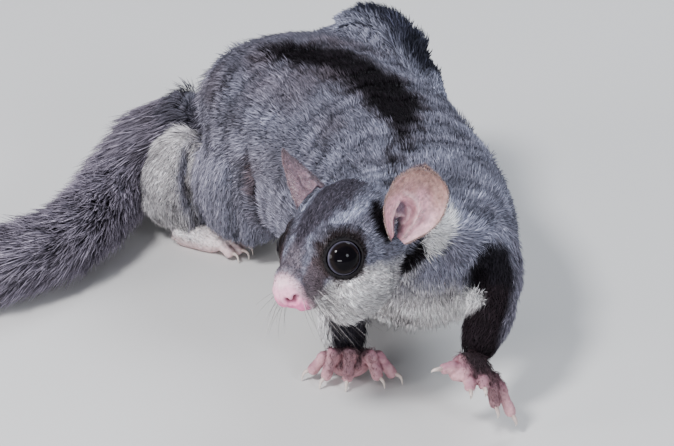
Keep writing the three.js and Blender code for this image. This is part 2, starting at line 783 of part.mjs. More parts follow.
const armCuts = [torsoGrown, neckGrown, headWorld];
const foreRight = placeLimb("forearm_right", ARM_RIGHT.fore, "dark_fur", armCuts);
const foreLeft = placeLimb("forearm_left", ARM_LEFT.fore, "dark_fur", armCuts);
const upRight = placeLimb("upper_arm_right", ARM_RIGHT.upper, "grey_fur", [...armCuts, foreRight]);
const upLeft = placeLimb("upper_arm_left", ARM_LEFT.upper, "grey_fur", [...armCuts, foreLeft]);
const rumpGrown = torsoForm(2 * CUT);
const thighRight = placeLimb("thigh_right", LEG_RIGHT.thigh, "grey_fur", [rumpGrown]);
const thighLeft = placeLimb("thigh_left", LEG_LEFT.thigh, "grey_fur", [rumpGrown]);
const shankRight = placeLimb("shank_right", LEG_RIGHT.shank, "pale_fur", [torsoGrown, thighRight]);
const shankLeft = placeLimb("shank_left", LEG_LEFT.shank, "grey_fur", [torsoGrown, thighLeft]);
place("membrane_left", membraneLeftForm, "grey_fur", [
  torsoGrown,
  neckGrown,
  upLeft,
  foreLeft,
  thighLeft,
  shankLeft,
]);
place("membrane_right", membraneRightForm, "grey_fur", [
  torsoGrown,
  neckGrown,
  upRight,
  foreRight,
  thighRight,
  shankRight,
  headWorld,
]);
const footRight = footForm(FEET.right).subtract(shankRight).subtract(thighRight);
const footLeft = footForm(FEET.left).subtract(shankLeft).subtract(thighLeft);
glider.add(asMesh(handRight().subtract(foreRight), "hand_right", "skin", 0.6));
glider.add(asMesh(handLeft().subtract(foreLeft), "hand_left", "skin", 0.6));
glider.add(asMesh(footRight, "foot_right", "skin", 0.6));
glider.add(asMesh(footLeft, "foot_left", "skin", 0.6));

let tailRow = 0;
let tailStart = 0;
for (const { name, rows } of TAIL_PIECES) {
  const lastPiece = tailRow + rows === TAIL_LOCKS.rows;
  const end = lastPiece ? tailLength : rowStart(tailRow + rows - 0.4);
  let body = join([tailCore(tailStart, end - GAP), ...tailRows(tailRow, rows)]);
  for (const blocker of [torsoGrown, shankRight]) body = body.subtract(blocker);
  tailRow += rows;
  tailStart = end;
  if (!lastPiece) body = body.subtract(tailCore(end, rowStart(tailRow + 1) + 10, CUT));
  glider.add(asMesh(body.trimByPlane(UP, FLOOR), name, "tail_fur"));
}

// The origin is on the floor, under the middle of the whole.
const box = new THREE.Box3().setFromObject(glider, true);
const centre = box.getCenter(new THREE.Vector3());
glider.position.set(-centre.x, -centre.y, -FLOOR);

export default glider;
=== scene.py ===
"""A sugar glider in a low crouch: skin, coat, eyes, ears, claws and whiskers over the frame.

Shapes are worked out in millimetres in the model's own drawing frame and turned into the
row frame, in metres, when their meshes are made.
"""

import math

import bmesh
import bpy
import numpy as np
from mathutils import Euler, Matrix, Vector
from mathutils.bvhtree import BVHTree


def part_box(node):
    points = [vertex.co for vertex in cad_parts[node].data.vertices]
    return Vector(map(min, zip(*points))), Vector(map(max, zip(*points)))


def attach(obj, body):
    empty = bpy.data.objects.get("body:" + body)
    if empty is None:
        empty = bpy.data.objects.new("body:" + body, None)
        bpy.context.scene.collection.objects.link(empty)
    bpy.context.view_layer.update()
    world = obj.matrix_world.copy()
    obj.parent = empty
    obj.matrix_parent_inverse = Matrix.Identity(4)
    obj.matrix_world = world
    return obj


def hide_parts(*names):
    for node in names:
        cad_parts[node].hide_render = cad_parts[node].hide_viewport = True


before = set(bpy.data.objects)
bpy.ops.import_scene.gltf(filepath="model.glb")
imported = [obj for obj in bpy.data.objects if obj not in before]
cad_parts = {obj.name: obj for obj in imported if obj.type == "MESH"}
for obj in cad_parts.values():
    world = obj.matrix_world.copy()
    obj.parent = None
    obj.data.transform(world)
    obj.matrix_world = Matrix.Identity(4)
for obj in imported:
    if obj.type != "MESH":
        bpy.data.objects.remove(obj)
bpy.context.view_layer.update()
RNG = np.random.default_rng(7)


# Frames


def euler_matrix(roll, dip, turn):
    angles = [math.radians(a) for a in (roll, dip, turn)]
    return np.array(Euler(angles, "XYZ").to_matrix())


HEAD_PLACE = np.array([-3.3, -13.1, 45.0])
HEAD_TURN = euler_matrix(9, 2, -90 - 39.6)
EYE_RADIUS = 5.1
EYE_LOOK = np.array([0.46, 0.84, 0.24])
EYE_LOOK = EYE_LOOK / np.linalg.norm(EYE_LOOK)
EYE_FRONT = np.array([4.2, 11.1, 0.7])
EYE_CENTRE = EYE_FRONT - EYE_RADIUS * EYE_LOOK


def from_head(p):
    """Points of the head's own frame in the drawing frame."""
    return np.asarray(p, float) @ HEAD_TURN.T + HEAD_PLACE


def to_head(p):
    return (np.asarray(p, float) - HEAD_PLACE) @ HEAD_TURN


def mirrored(h):
    """Places of the head's frame, all taken to its left side."""
    return np.column_stack([h[:, 0], np.abs(h[:, 1]), h[:, 2]])


EYE_BOX = np.array([list(corner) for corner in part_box("eye_left")])
SHIFT = EYE_BOX.mean(axis=0) * 1000 - from_head(EYE_CENTRE)
SHIFT[2] = 0.0


def to_row(p):
    """Millimetres of the drawing frame as metres of the row frame."""
    return (np.asarray(p, float) + SHIFT) / 1000


# Small maths


def unit(v, axis=-1):
    return v / np.maximum(np.linalg.norm(v, axis=axis, keepdims=True), 1e-9)


def smooth(low, high, x):
    t = np.clip((x - low) / (high - low), 0, 1)
    return t * t * (3 - 2 * t)


def mix(a, b, t):
    return a + (b - a) * t


def hashed(i, seed):
    h = i[..., 0] * 73856093 ^ i[..., 1] * 19349663 ^ i[..., 2] * 83492791 ^ seed * 2654435
    h = (h ^ (h >> 13)) * 1274126177
    return ((h ^ (h >> 16)) & 0xFFFF) / 65535.0


def noise(p, size=1.0, seed=1):
    """Smooth noise between -1 and 1 with features of a size in millimetres."""
    q = np.asarray(p, float) / size
    base = np.floor(q).astype(np.int64)
    f = q - base
    f = f * f * (3 - 2 * f)
    total = np.zeros(len(q))
    for corner in np.ndindex(2, 2, 2):
        c = np.array(corner)
        weight = np.prod(np.where(c == 1, f, 1 - f), axis=1)
        total += weight * hashed(base + c, seed)
    return total * 2 - 1


def polyline_distance(p, line):
    """Distance to a polyline and the share of its points' index at the nearest place."""
    line = np.asarray(line, float)
    best = np.full(len(p), 1e9)
    where = np.zeros(len(p))
    for i in range(len(line) - 1):
        a, b = line[i], line[i + 1]
        ab = b - a
        t = np.clip(((p - a) @ ab) / (ab @ ab), 0, 1)
        d = np.linalg.norm(p - (a + t[:, None] * ab), axis=1)
        closer = d < best
        best = np.where(closer, d, best)
        where = np.where(closer, i + t, where)
    return best, where


def catmull(points, samples):
    """Points along a smooth curve through the given ones."""
    return curve_at(points, np.linspace(0, 1, samples))


def curve_at(points, share):
    """Points of a smooth curve through the given ones, at shares of its length in steps."""
    pts = np.asarray(points, float)
    pts = np.vstack([2 * pts[0] - pts[1], pts, 2 * pts[-1] - pts[-2]])
    t = np.clip(share, 0, 1) * (len(pts) - 3 - 1e-9)
    i = np.floor(t).astype(int)
    u = (t - i)[:, None]
    p0, p1, p2, p3 = pts[i], pts[i + 1], pts[i + 2], pts[i + 3]
    return 0.5 * (
        2 * p1
        + (p2 - p0) * u
        + (2 * p0 - 5 * p1 + 4 * p2 - p3) * u**2
        + (3 * p1 - p0 - 3 * p2 + p3) * u**3
    )


def axes_of(along, up=(0, 0, 1)):
    """Unit directions along a path, to its side and to its top."""
    side = unit(np.cross(along, np.asarray(up, float)))
    return along, side, np.cross(side, along)


def axes_along(points, share, step=1e-3, up=(0, 0, 1)):
    """The same directions at shares of a smooth curve."""
    return axes_of(unit(curve_at(points, share + step) - curve_at(points, share - step)), up)


# Mesh helpers


def grid_faces(rows, columns, around=True, through=False, flip=False, start=0):
    """Quads between the rows of a grid of points, which may close round a row or back to the first."""
    faces = []
    for i in range(rows if through else rows - 1):
        for j in range(columns if around else columns - 1):
            k, low, high = (j + 1) % columns, start + i * columns, start + (i + 1) % rows * columns
            quad = (low + j, low + k, high + k, high + j)
            faces.append((quad[0], *quad[:0:-1]) if flip else quad)
    return faces


def new_mesh(name, points, faces, metres=True):
    mesh = bpy.data.meshes.new(name)
    mesh.from_pydata((to_row(points) if metres else points).tolist(), [], faces)
    mesh.update()
    return mesh


def new_object(name, mesh, material=None, smooth_shading=True):
    piece = bpy.data.objects.new(name, mesh)
    bpy.context.scene.collection.objects.link(piece)
    if material:
        mesh.materials.append(material)
    if smooth_shading:
        mesh.polygons.foreach_set("use_smooth", [True] * len(mesh.polygons))
    return piece


def finished(piece, slot, *nodes):
    if nodes:
        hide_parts(*nodes)
    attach(piece, "root")
    return piece


def arrays(mesh):
    """A mesh's points and its faces' corner lists, quads and triangles alike, as triangles."""
    mesh.calc_loop_triangles()
    points = np.empty(len(mesh.vertices) * 3)
    mesh.vertices.foreach_get("co", points)
    corners = np.empty(len(mesh.loop_triangles) * 3, np.int32)
    mesh.loop_triangles.foreach_get("vertices", corners)
    return points.reshape(-1, 3), corners.reshape(-1, 3)


def node_points(name):
    points, triangles = arrays(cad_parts[name].data)
    return points * 1000 - SHIFT, triangles


def colour_layer(mesh, colours):
    layer = mesh.color_attributes.new("Coat", "FLOAT_COLOR", "POINT")
    rgba = np.ones((len(colours), 4), np.float32)
    rgba[:, :3] = colours
    layer.data.foreach_set("color", rgba.ravel())


def halves(quads):
    """The two triangles of every quad."""
    return np.vstack([quads[:, :3], quads[:, [0, 2, 3]]])


def tree_of(points, triangles):
    return BVHTree.FromPolygons(points.tolist(), triangles.tolist(), all_triangles=True)


def normals_of(points, triangles):
    a, b, c = (points[triangles[:, i]] for i in range(3))
    face = np.cross(b - a, c - a)
    out = np.zeros_like(points)
    for i in range(3):
        for axis in range(3):
            out[:, axis] += np.bincount(triangles[:, i], face[:, axis], len(points))
    return unit(out)


class Smoother:
    """Averages values over a surface's neighbours."""

    def __init__(self, count, triangles):
        pairs = np.vstack([triangles[:, [0, 1]], triangles[:, [1, 2]], triangles[:, [2, 0]]])
        pairs = np.unique(np.sort(pairs, axis=1), axis=0)
        self.count, self.a, self.b = count, pairs[:, 0], pairs[:, 1]
        self.degree = np.maximum(
            np.bincount(self.a, minlength=count) + np.bincount(self.b, minlength=count), 1
        )

    def __call__(self, values, rounds, weight=0.5):
        out = np.array(values, float)
        flat = out.ndim == 1
        out = out[:, None] if flat else out
        w = np.broadcast_to(np.asarray(weight, float), (self.count,))[:, None]
        for _ in range(rounds):
            mean = np.stack(
                [
                    np.bincount(self.a, out[self.b, k], self.count)
                    + np.bincount(self.b, out[self.a, k], self.count)
                    for k in range(out.shape[1])
                ],
                axis=1,
            )
            out += w * (mean / self.degree[:, None] - out)
        return out[:, 0] if flat else out


def softened(surface, values, rounds):
    """Values over a surface's points, averaged with their neighbours'."""
    return Smoother(len(values), surface["triangles"])(values, rounds)


def tube(path, radii, sides=12, up=(0, 0, 1)):
    """A closed tube along a path, as points and faces."""
    path, radii = np.asarray(path, float), np.asarray(radii, float)
    _, side, top = axes_of(unit(np.gradient(path, axis=0)), up)
    angle = np.linspace(0, 2 * np.pi, sides, endpoint=False)
    ring = (
        path[:, None]
        + side[:, None] * (np.cos(angle)[None, :, None] * radii[:, None, None])
        + top[:, None] * (np.sin(angle)[None, :, None] * radii[:, None, None])
    )
    faces = grid_faces(len(path), sides)
    faces.append(tuple(range(sides))[::-1])
    faces.append(tuple((len(path) - 1) * sides + j for j in range(sides)))
    return ring.reshape(-1, 3), faces


def closed_faces(rows, sides):
    """Faces of a form of closed rows with a point at each end, which follow the rows' points."""
    faces = grid_faces(rows, sides, flip=True)
    for j in range(sides):
        k = (j + 1) % sides
        faces.append((rows * sides, j, k))
        faces.append((rows * sides + 1, (rows - 1) * sides + k, (rows - 1) * sides + j))
    return faces


def sweep(stations, sides=12, rings=12, up=(0, 0, 1), blunt=5):
    """A closed form through stations [x, y, z, half width, top, bottom], with full ends."""
    table = np.array([[*s[:4], *(s[4:] if len(s) > 4 else (s[3], s[3]))] for s in stations], float)
    even = np.linspace(0, 1, rings + 1)
    t = mix(even, (1 - np.cos(np.pi * even)) / 2, 0.7)
    path = curve_at(table[:, :3], t)
    size = curve_at(table[:, 3:], t)
    _, side, top = axes_along(table[:, :3], t, up=up)
    end = np.sqrt(np.maximum(0, 1 - np.abs(2 * t - 1) ** blunt))[1:-1]
    angle = np.linspace(0, 2 * np.pi, sides, endpoint=False)
    c, sn = np.cos(angle)[None], np.sin(angle)[None]
    lateral = c * (size[1:-1, :1] * end[:, None])
    height = np.where(sn > 0, size[1:-1, 1:2], size[1:-1, 2:3]) * end[:, None] * sn
    ring = (
        path[1:-1, None]
        + side[1:-1, None] * lateral[..., None]
        + top[1:-1, None] * height[..., None]
    )
    points = np.vstack([ring.reshape(-1, 3), path[:1], path[-1:]])
    return points, closed_faces(rings - 1, sides)


def joined(pieces):
    points, faces, start = [], [], 0
    for p, f in pieces:
        points.append(np.asarray(p, float))
        faces += [tuple(int(i) + start for i in face) for face in f]
        start += len(p)
    return np.vstack(points), faces


def remeshed(pieces, voxel):
    """One closed surface round overlapping closed pieces, as points and quads."""
    points, faces = joined(pieces)
    mesh = new_mesh("scratch", points, faces, metres=False)
    scratch = bpy.data.objects.new("scratch", mesh)
    bpy.context.scene.collection.objects.link(scratch)
    modifier = scratch.modifiers.new("remesh", "REMESH")
    modifier.mode = "VOXEL"
    modifier.voxel_size = voxel
    graph = bpy.context.evaluated_depsgraph_get()
    made = scratch.evaluated_get(graph).to_mesh()
    out = np.empty(len(made.vertices) * 3)
    made.vertices.foreach_get("co", out)
    corners = np.empty(len(made.loops), np.int32)
    made.loops.foreach_get("vertex_index", corners)
    quads = corners.reshape(-1, 4).copy()
    scratch.evaluated_get(graph).to_mesh_clear()
    bpy.data.objects.remove(scratch)
    bpy.data.meshes.remove(mesh)
    return out.reshape(-1, 3), quads


def grown_node(name, grow):
    """A node's closed mesh with its doubled points merged, larger on every side."""
    points, triangles = node_points(name)
    work = bmesh.new()
    verts = [work.verts.new(p) for p in points]
    for t in triangles:
        try:
            work.faces.new([verts[i] for i in t])
        except ValueError:
            pass
    bmesh.ops.remove_doubles(work, verts=work.verts, dist=1e-3)
    work.normal_update()
    out = np.array([v.co + v.normal * grow for v in work.verts])
    for i, v in enumerate(work.verts):
        v.index = i
    faces = [tuple(v.index for v in f.verts) for f in work.faces]
    work.free()
    return out, faces


# Materials


def material(name, roughness):
    made = bpy.data.materials.new(name)
    made.use_nodes = True
    nodes, links = made.node_tree.nodes, made.node_tree.links
    shader = nodes["Principled BSDF"]
    shader.inputs["Roughness"].default_value = roughness
    return made, nodes, links, shader


def painted_material(name, roughness, specular, scale, low, high, detail=3.0, bump=None, scatter=None):
    """Painted colours multiplied by a fine noise between two shares, which may also raise the surface.

    bump is its strength and depth, scatter its weight and radii.
    """
    made, nodes, links, shader = material(name, roughness)
    shader.inputs["Specular IOR Level"].default_value = specular
    coordinates = nodes.new("ShaderNodeTexCoord")
    texture = nodes.new("ShaderNodeTexNoise")
    texture.inputs["Scale"].default_value = scale
    texture.inputs["Detail"].default_value = detail
    links.new(coordinates.outputs["Object"], texture.inputs["Vector"])
    shares = nodes.new("ShaderNodeMapRange")
    for socket, value in {"From Min": 0.3, "From Max": 0.7, "To Min": low, "To Max": high}.items():
        shares.inputs[socket].default_value = value
    links.new(texture.outputs["Fac"], shares.inputs["Value"])
    colour = nodes.new("ShaderNodeVertexColor")
    colour.layer_name = "Coat"
    scaled = nodes.new("ShaderNodeVectorMath")
    scaled.operation = "SCALE"
    links.new(colour.outputs["Color"], scaled.inputs[0])
    links.new(shares.outputs["Result"], scaled.inputs["Scale"])
    links.new(scaled.outputs["Vector"], shader.inputs["Base Color"])
    if bump:
        raised = nodes.new("ShaderNodeBump")
        raised.inputs["Strength"].default_value, raised.inputs["Distance"].default_value = bump
        links.new(texture.outputs["Fac"], raised.inputs["Height"])
        links.new(raised.outputs["Normal"], shader.inputs["Normal"])
    if scatter:
        shader.inputs["Subsurface Weight"].default_value = scatter[0]
        shader.inputs["Subsurface Radius"].default_value = scatter[1]
    return made


# Colours, as linear shares of red, green and blue

SILVER = np.array([0.30, 0.31, 0.40])
GREY = np.array([0.137, 0.130, 0.165])
SLATE = np.array([0.062, 0.058, 0.074])
BLACK = np.array([0.0075, 0.0055, 0.0075])
BROWN = np.array([0.075, 0.045, 0.044])
CREAM = np.array([0.94, 0.895, 0.90])
WHITE = np.array([0.90, 0.87, 0.88])
PINK = np.array([0.44, 0.245, 0.26])
NOSE_PINK = np.array([0.72, 0.36, 0.47])
LID = np.array([0.005, 0.0035, 0.0045])


class Paint:
    """Colours over points, painted one mark after another with soft, ragged edges."""

    def __init__(self, points, normals, base):
        self.p, self.n = points, normals
        self.h = to_head(points)
        self.colour = np.repeat(np.asarray(base, float)[None], len(points), axis=0)
        self.ragged = noise(points, 1.3, 3) * 0.6 + noise(points, 3.1, 4) * 0.4

    def over(self, colour, mask, strength=1.0):
        share = (np.clip(mask, 0, 1) * strength)[:, None]
        self.colour += share * (np.asarray(colour) - self.colour)

    def stroke(self, colour, line, widths, soft=1.2, strength=1.0, head=False, ragged=0.5):
        place = self.h if head else self.p
        distance, where = polyline_distance(place, line)
        width = np.interp(where, np.arange(len(widths)), widths)
        distance = distance + self.ragged * ragged * soft
        self.over(colour, 1 - smooth(width - soft * 0.5, width + soft * 0.5, distance), strength)


# Paths along the body, which the coat follows

TORSO = [
    (20.5, -3, 33),
    (20, 20, 33.5),
    (16, 40, 33),
    (8.5, 58, 32.5),
    (-1.5, 74, 32.5),
    (-13, 88, 31),
    (-25, 98, 28),
    (-36, 102, 24.5),
]
TORSO_ALONG = [0, 23, 43.4, 62.9, 81.8, 100, 116, 128]
LIMBS = {
    "upper_arm_right": [(5, 21, 34), (1, 17, 25), (0.5, 12, 13)],
    "forearm_right": [(0.4, 13, 17), (1.4, 10, 12), (3, 4.4, 6)],
    "upper_arm_left": [(34, 17, 37), (37, 9, 32), (39, -3, 25)],
    "forearm_left": [(39.6, 0, 28), (37.8, -7, 24.5), (32.6, -19, 18.6)],
    "thigh_right": [(-19, 84, 37), (-24, 71, 21), (-26, 70, 6)],
    "shank_right": [(-36, 87, 27), (-45.5, 80.5, 11), (-44, 78.5, 4)],
    "thigh_left": [(-10, 95, 42), (5, 102, 34), (13, 98, 10)],
    "shank_left": [(14, 99, 13), (9, 106, 10), (-2, 113, 5)],
    "membrane_left": [
        (41, 5, 26),
        (43.4, 20, 29),
        (40, 38, 33.5),
        (32.6, 55, 38.5),
        (25.5, 71, 42.5),
        (20.5, 85, 45.5),
        (14, 97, 49),
        (4, 103, 51.5),
        (-8, 103, 50),
    ],
    "membrane_right": [(-7, 22, 24), (-14, 50, 26), (-28, 70, 25)],
}
TAIL = [
    (-36, 102, 25),
    (-46, 103, 19),
    (-54, 98, 14),
    (-60, 88, 11),
    (-64, 76, 10.8),
    (-70, 62, 10.8),
    (-80, 50, 10.8),
    (-94, 41, 10.8),
    (-110, 38, 10.8),
    (-126, 42, 10.4),
    (-140, 51, 9.8),
    (-150, 64, 8.6),
    (-155, 78, 7.2),
]
TAIL_SIZE = [11.5, 12, 12, 12, 12, 12, 12, 12, 12, 11.5, 11, 9.7, 8.2]

# Each region's coat: its depth, its hairs' length and width in millimetres, and how many grow
# on a square millimetre
REGIONS = {
    "nose": (0.0, 0.0, 0.1, 0.0),
    "head": (0.7, 1.7, 0.17, 13.0),
    "neck": (1.3, 2.9, 0.21, 8.5),
    "chest": (1.4, 3.1, 0.22, 8.0),
    "belly": (1.5, 3.2, 0.23, 7.5),
    "rump": (1.6, 3.5, 0.24, 7.0),
    "upper_arm": (1.1, 3.0, 0.21, 8.5),
    "forearm": (0.6, 3.0, 0.20, 9.5),
    "thigh": (1.4, 3.1, 0.23, 7.5),
    "shank": (1.0, 2.9, 0.22, 8.0),
    "membrane": (1.2, 3.2, 0.22, 8.0),
    "tail": (0.0, 4.0, 0.24, 7.0),
}


# Skin: one surface round all the flesh, which lies inside the coat


def tail_core():
    path = catmull(TAIL, 90)
    along = np.concatenate([[0], np.cumsum(np.linalg.norm(np.diff(path, axis=0), axis=1))])
    size = np.interp(np.linspace(0, 12, 90), np.arange(13), TAIL_SIZE)
    share = mix(0.86, 0.4, smooth(0, 34, along))
    radii = size * share
    radii[-4:] *= [0.9, 0.75, 0.5, 0.2]
    return tube(path, radii, 16)


LID_RADIUS = 4.54
LID_FORWARD = 2.95
LID_THICKNESS = (0.48, 0.5)
LID_STEPS = 48


def lid_ring(side):
    """A soft ring round the eye's opening, a little over the eyeball's edge."""
    flip = np.array([1, side, 1])
    look, centre = EYE_LOOK * flip, EYE_CENTRE * flip
    a = unit(np.cross(look, [0, 0, 1]))
    b = np.cross(a, look)
    angle = np.linspace(0, 2 * np.pi, LID_STEPS + 1)[:-1]
    radius = LID_RADIUS + 0.08 * np.cos(2 * angle)
    path = (
        centre
        + look * LID_FORWARD
        + a * (np.cos(angle) * radius)[:, None]
        + b * (np.sin(angle) * radius * 0.97)[:, None]
    )
    sides = 10
    out = unit(path - centre - look * LID_FORWARD)
    turn = np.linspace(0, 2 * np.pi, sides, endpoint=False)
    ring = (
        path[:, None]
        + out[:, None] * (np.cos(turn) * LID_THICKNESS[0])[None, :, None]
        + look * (np.sin(turn) * LID_THICKNESS[1])[None, :, None]
    )
    faces = grid_faces(LID_STEPS, sides, through=True)
    return from_head(ring.reshape(-1, 3)), faces


def region_of(name):
    return name.rsplit("_", 1)[0] if name.endswith(("_left", "_right")) else name


class Labels:
    """Which named node each point of the skin belongs to."""

    def __init__(self, names, extra):
        points, triangles, owner, start = [], [], [], 0
        for i, name in enumerate(names):
            p, t = node_points(name)
            points.append(p)
            triangles.append(t + start)
            owner += [i] * len(t)
            start += len(p)
        for k, (_, (p, faces)) in enumerate(extra):
            t = halves(np.array([f for f in faces if len(f) == 4]))
            points.append(p)
            triangles.append(t + start)
            owner += [len(names) + k] * len(t)
            start += len(p)
        self.owner = np.array(owner)
        self.tree = tree_of(np.vstack(points), np.vstack(triangles))

    def __call__(self, points):
        found = [self.tree.find_nearest(Vector(p))[2] for p in points]
        return self.owner[np.array(found)]


BODY_NODES = ["head", "nose", "neck", "chest", "belly", "rump"] + [
    f"{part}_{side}"
    for part in ("upper_arm", "forearm", "thigh", "shank", "membrane")
    for side in ("left", "right")
]


def eye_distance(points):
    """How far points are from the axis of the nearer eye, in the head's frame."""
    rel = mirrored(to_head(points)) - EYE_CENTRE
    forward = rel @ EYE_LOOK
    away = rel - forward[:, None] * EYE_LOOK
    return np.where(forward > -1.5, np.linalg.norm(away, axis=1), 30.0), away


def wrinkle(points):
    """Ridges of the loose skin, which run round the body and break up irregularly."""
    distance, where = polyline_distance(points, TORSO)
    steps = np.arange(len(TORSO))
    s = np.interp(where, steps, TORSO_ALONG)
    centre = np.column_stack([np.interp(where, steps, np.array(TORSO)[:, k]) for k in range(3)])
    rel = points - centre
    angle = np.arctan2(rel[:, 2], rel[:, 0])
    warp = noise(points, 9, 21) * 2.4 + noise(points, 4, 22) * 0.9
    q = np.column_stack([s / 2.9 + warp / 2.9, angle * distance / 11, np.zeros(len(s))])
    wide, fine = noise(q, 1.0, 23), noise(q * [2.1, 2.0, 1] + 7, 1.0, 24)
    furrow = np.exp(-(((wide + 0.4 * fine) / 0.25) ** 2))
    return wide * 0.4 + fine * 0.3 + 0.3 - 0.95 * furrow


LIPS = [(18.2, 0, -10.4), (14.4, 4.2, -10.6), (10.4, 6.2, -10.2), (6.4, 7.8, -9.4)]


def build_surface(pieces, voxel, grow, names, extra, rounds, fine):
    points, quads = remeshed(pieces, voxel)
    triangles = halves(quads)
    labels = Labels(names, extra)(points)
    kinds = [region_of(n) for n in list(names) + [n for n, _ in extra]]
    table = np.array([REGIONS[k] for k in kinds])
    smoother = Smoother(len(points), triangles)
    fields = smoother(table[labels], 30 if not fine else 60)
    near_eye = eye_distance(points)[0]
    h = to_head(points)
    feature = np.maximum(1 - smooth(6.2, 8.5, near_eye), smooth(12.5, 14, h[:, 0]))
    lips = polyline_distance(mirrored(h), LIPS)[0]
    feature = np.maximum(feature, 1 - smooth(0.8, 2.2, lips))
    soft = 0.5 * (1 - 0.88 * feature) if fine else 0.5
    points = smoother(points, rounds, soft)
    normals = normals_of(points, triangles)
    keep = 1 - feature if fine else np.ones(len(points))
    depth = fields[:, 0] * keep
    points = points - normals * (depth + grow)[:, None]
    points = smoother(points, 6, 0.4 * (1 - 0.9 * feature) if fine else 0.4)
    normals = normals_of(points, triangles)
    return dict(
        points=points,
        quads=quads,
        triangles=triangles,
        normals=normals,
        labels=labels,
        kinds=kinds,
        fields=fields,
        feature=feature,
        smoother=smoother,
    )


def cropped(surface, keep):
    """The part of a surface whose faces have all their points kept."""
    quads = surface["quads"][keep[surface["quads"]].all(axis=1)]
    used = np.unique(quads)
    index = np.full(len(surface["points"]), -1)
    index[used] = np.arange(len(used))
    quads = index[quads]
    out = {k: surface[k][used] for k in ("points", "normals", "labels", "fields", "feature")}
    out["quads"] = quads
    out["triangles"] = halves(quads)
    out["kinds"] = surface["kinds"]
    return out


HEAD_EDGE = -13.0
MEMBRANE_LEFT = [
    (41, 5, 26, 3.5, 7, 6),
    (43.4, 20, 29, 3.8, 9, 8),
    (40, 38, 33.5, 4.2, 9, 9),
    (32.6, 55, 38.5, 4.6, 7.6, 9.5),
    (25.5, 71, 42.5, 5.2, 6, 10),
    (20.5, 85, 45.5, 5.6, 6.2, 10),
    (14, 97, 49, 6.2, 6.8, 11),
    (4, 102, 50.5, 6.6, 6.4, 11),
    (-8, 100, 45.5, 6, 5, 9),
]

HEEL = [(-44, 79, 11, 5.5, 6, 6), (-40, 77.5, 8.2, 5.5, 5, 5), (-36, 76, 6.4, 4.6, 4, 3.8)]

core = tail_core()
body_voxel = 0.72
head_voxel = 0.31
body = build_surface(
    [grown_node(n, 0.35) for n in BODY_NODES if n != "membrane_left"]
    + [sweep(MEMBRANE_LEFT, 20, 40), sweep(HEEL, 16, 14), core],
    body_voxel,
    0.35,
    BODY_NODES,
    [("tail", core)],
    26,
    False,
)
HEAD_NODES = ["head", "nose", "neck"]
head = build_surface(
    [grown_node(n, 0.18) for n in HEAD_NODES] + [lid_ring(1), lid_ring(-1)],
    head_voxel,
    0.18,
    HEAD_NODES,
    [],
    36,
    True,
)
in_head = np.isin(body["labels"], [BODY_NODES.index("head"), BODY_NODES.index("nose")])
hx = to_head(body["points"])[:, 0]
body = cropped(body, ~(in_head & (hx > HEAD_EDGE)))
head = cropped(head, to_head(head["points"])[:, 0] > HEAD_EDGE - 1.6)

# The loose skin of the trunk and flanks is wrinkled.
fur_kinds = np.array(body["kinds"])[body["labels"]]
folds = wrinkle(body["points"])
loose = np.isin(fur_kinds, ["belly", "rump", "chest", "neck", "thigh", "membrane", "upper_arm"])
loose = softened(body, loose.astype(float), 8)
push = folds * 0.62 * loose
lobe = body["points"][:, 0] < -36
push += np.where(lobe, noise(body["points"] / [9, 9, 3.4], 1.0, 25) * 0.7, 0) * (fur_kinds == "shank")


def crease(points, line, depth, width):
    """A furrow of the skin along a line, with a low swelling on both its sides."""
    distance = polyline_distance(points, line)[0] / width
    return depth * (0.35 * np.exp(-((distance - 2.2) ** 2)) - np.exp(-(distance**2)))


HAUNCH_CREASE = [(-37, 82, 32), (-39.3, 79, 26), (-40.6, 75.6, 20), (-38.5, 73.6, 12), (-37.8, 73, 5)]
FLANK_CREASE = [(-22, 62, 40), (-20.9, 56.3, 30), (-19.6, 54.5, 22), (-20, 54, 12)]
ANKLE_CREASE = [(-49, 73, 7.5), (-42, 71, 6.5), (-37, 72, 6)]
push += crease(body["points"], HAUNCH_CREASE, 1.5, 1.3)
push += crease(body["points"], FLANK_CREASE, 1.3, 1.7)
push += crease(body["points"], ANKLE_CREASE, 0.7, 0.9)
push += crease(body["points"], [(-12, 62, 53), (-17, 52, 46), (-17, 44, 36), (-14, 36, 26)], 0.8, 1.4)
body["points"] = body["points"] + body["normals"] * push[:, None]
body["normals"] = normals_of(body["points"], body["triangles"])


def ear_frame(side):
    """An ear's root and its directions up, out of its hollow and across."""
    table = EARS[side]
    rise, face = unit(table["rise"]), unit(table["face"])
    face = unit(face - rise * (face @ rise))
    return table["root"], rise, face, np.cross(rise, face)


EARS = {
    1: dict(root=np.array([-11.0, 15.2, 0.5]), rise=np.array([-0.21, 0.37, 0.59]),
            face=np.array([0.79, 0.9, -0.45]), height=19.8, half=7.9, cup=5.1, lean=-2.2, point=0),
    -1: dict(root=np.array([-14.8, -14.9, 4.2]), rise=np.array([-0.39, -0.86, 0.37]),
             face=np.array([-0.35, -0.885, -0.37]), height=20.2, half=5, cup=4.4, lean=-0.8, point=1),
}


def clear_of_ears(points):
    """Presses points that would fill an ear's hollow back behind its shell."""
    for side in (1, -1):
        root, rise, face, across = ear_frame(side)
        rel = to_head(points) - root
        h = (rel @ rise + 1.5) / EARS[side]["height"]
        v = (rel @ across) / (EARS[side]["half"] * mix(0.45, 1.0, smooth(0, 0.5, h)))
        shell = -EARS[side]["cup"] * (1 - np.clip(v, -1, 1) ** 2) * (1 - 0.6 * h) - 0.5
        inside = smooth(1.15, 0.85, np.abs(v)) * smooth(0.04, 0.2, h) * smooth(1.0, 0.9, h)
        excess = np.clip(rel @ face - shell, 0, 6) * inside * (np.linalg.norm(rel, axis=1) < 22)
        points = points - (excess[:, None] * face) @ HEAD_TURN.T
    return points


for surface in (body, head):
    surface["points"] = clear_of_ears(surface["points"])
body["normals"] = normals_of(body["points"], body["triangles"])

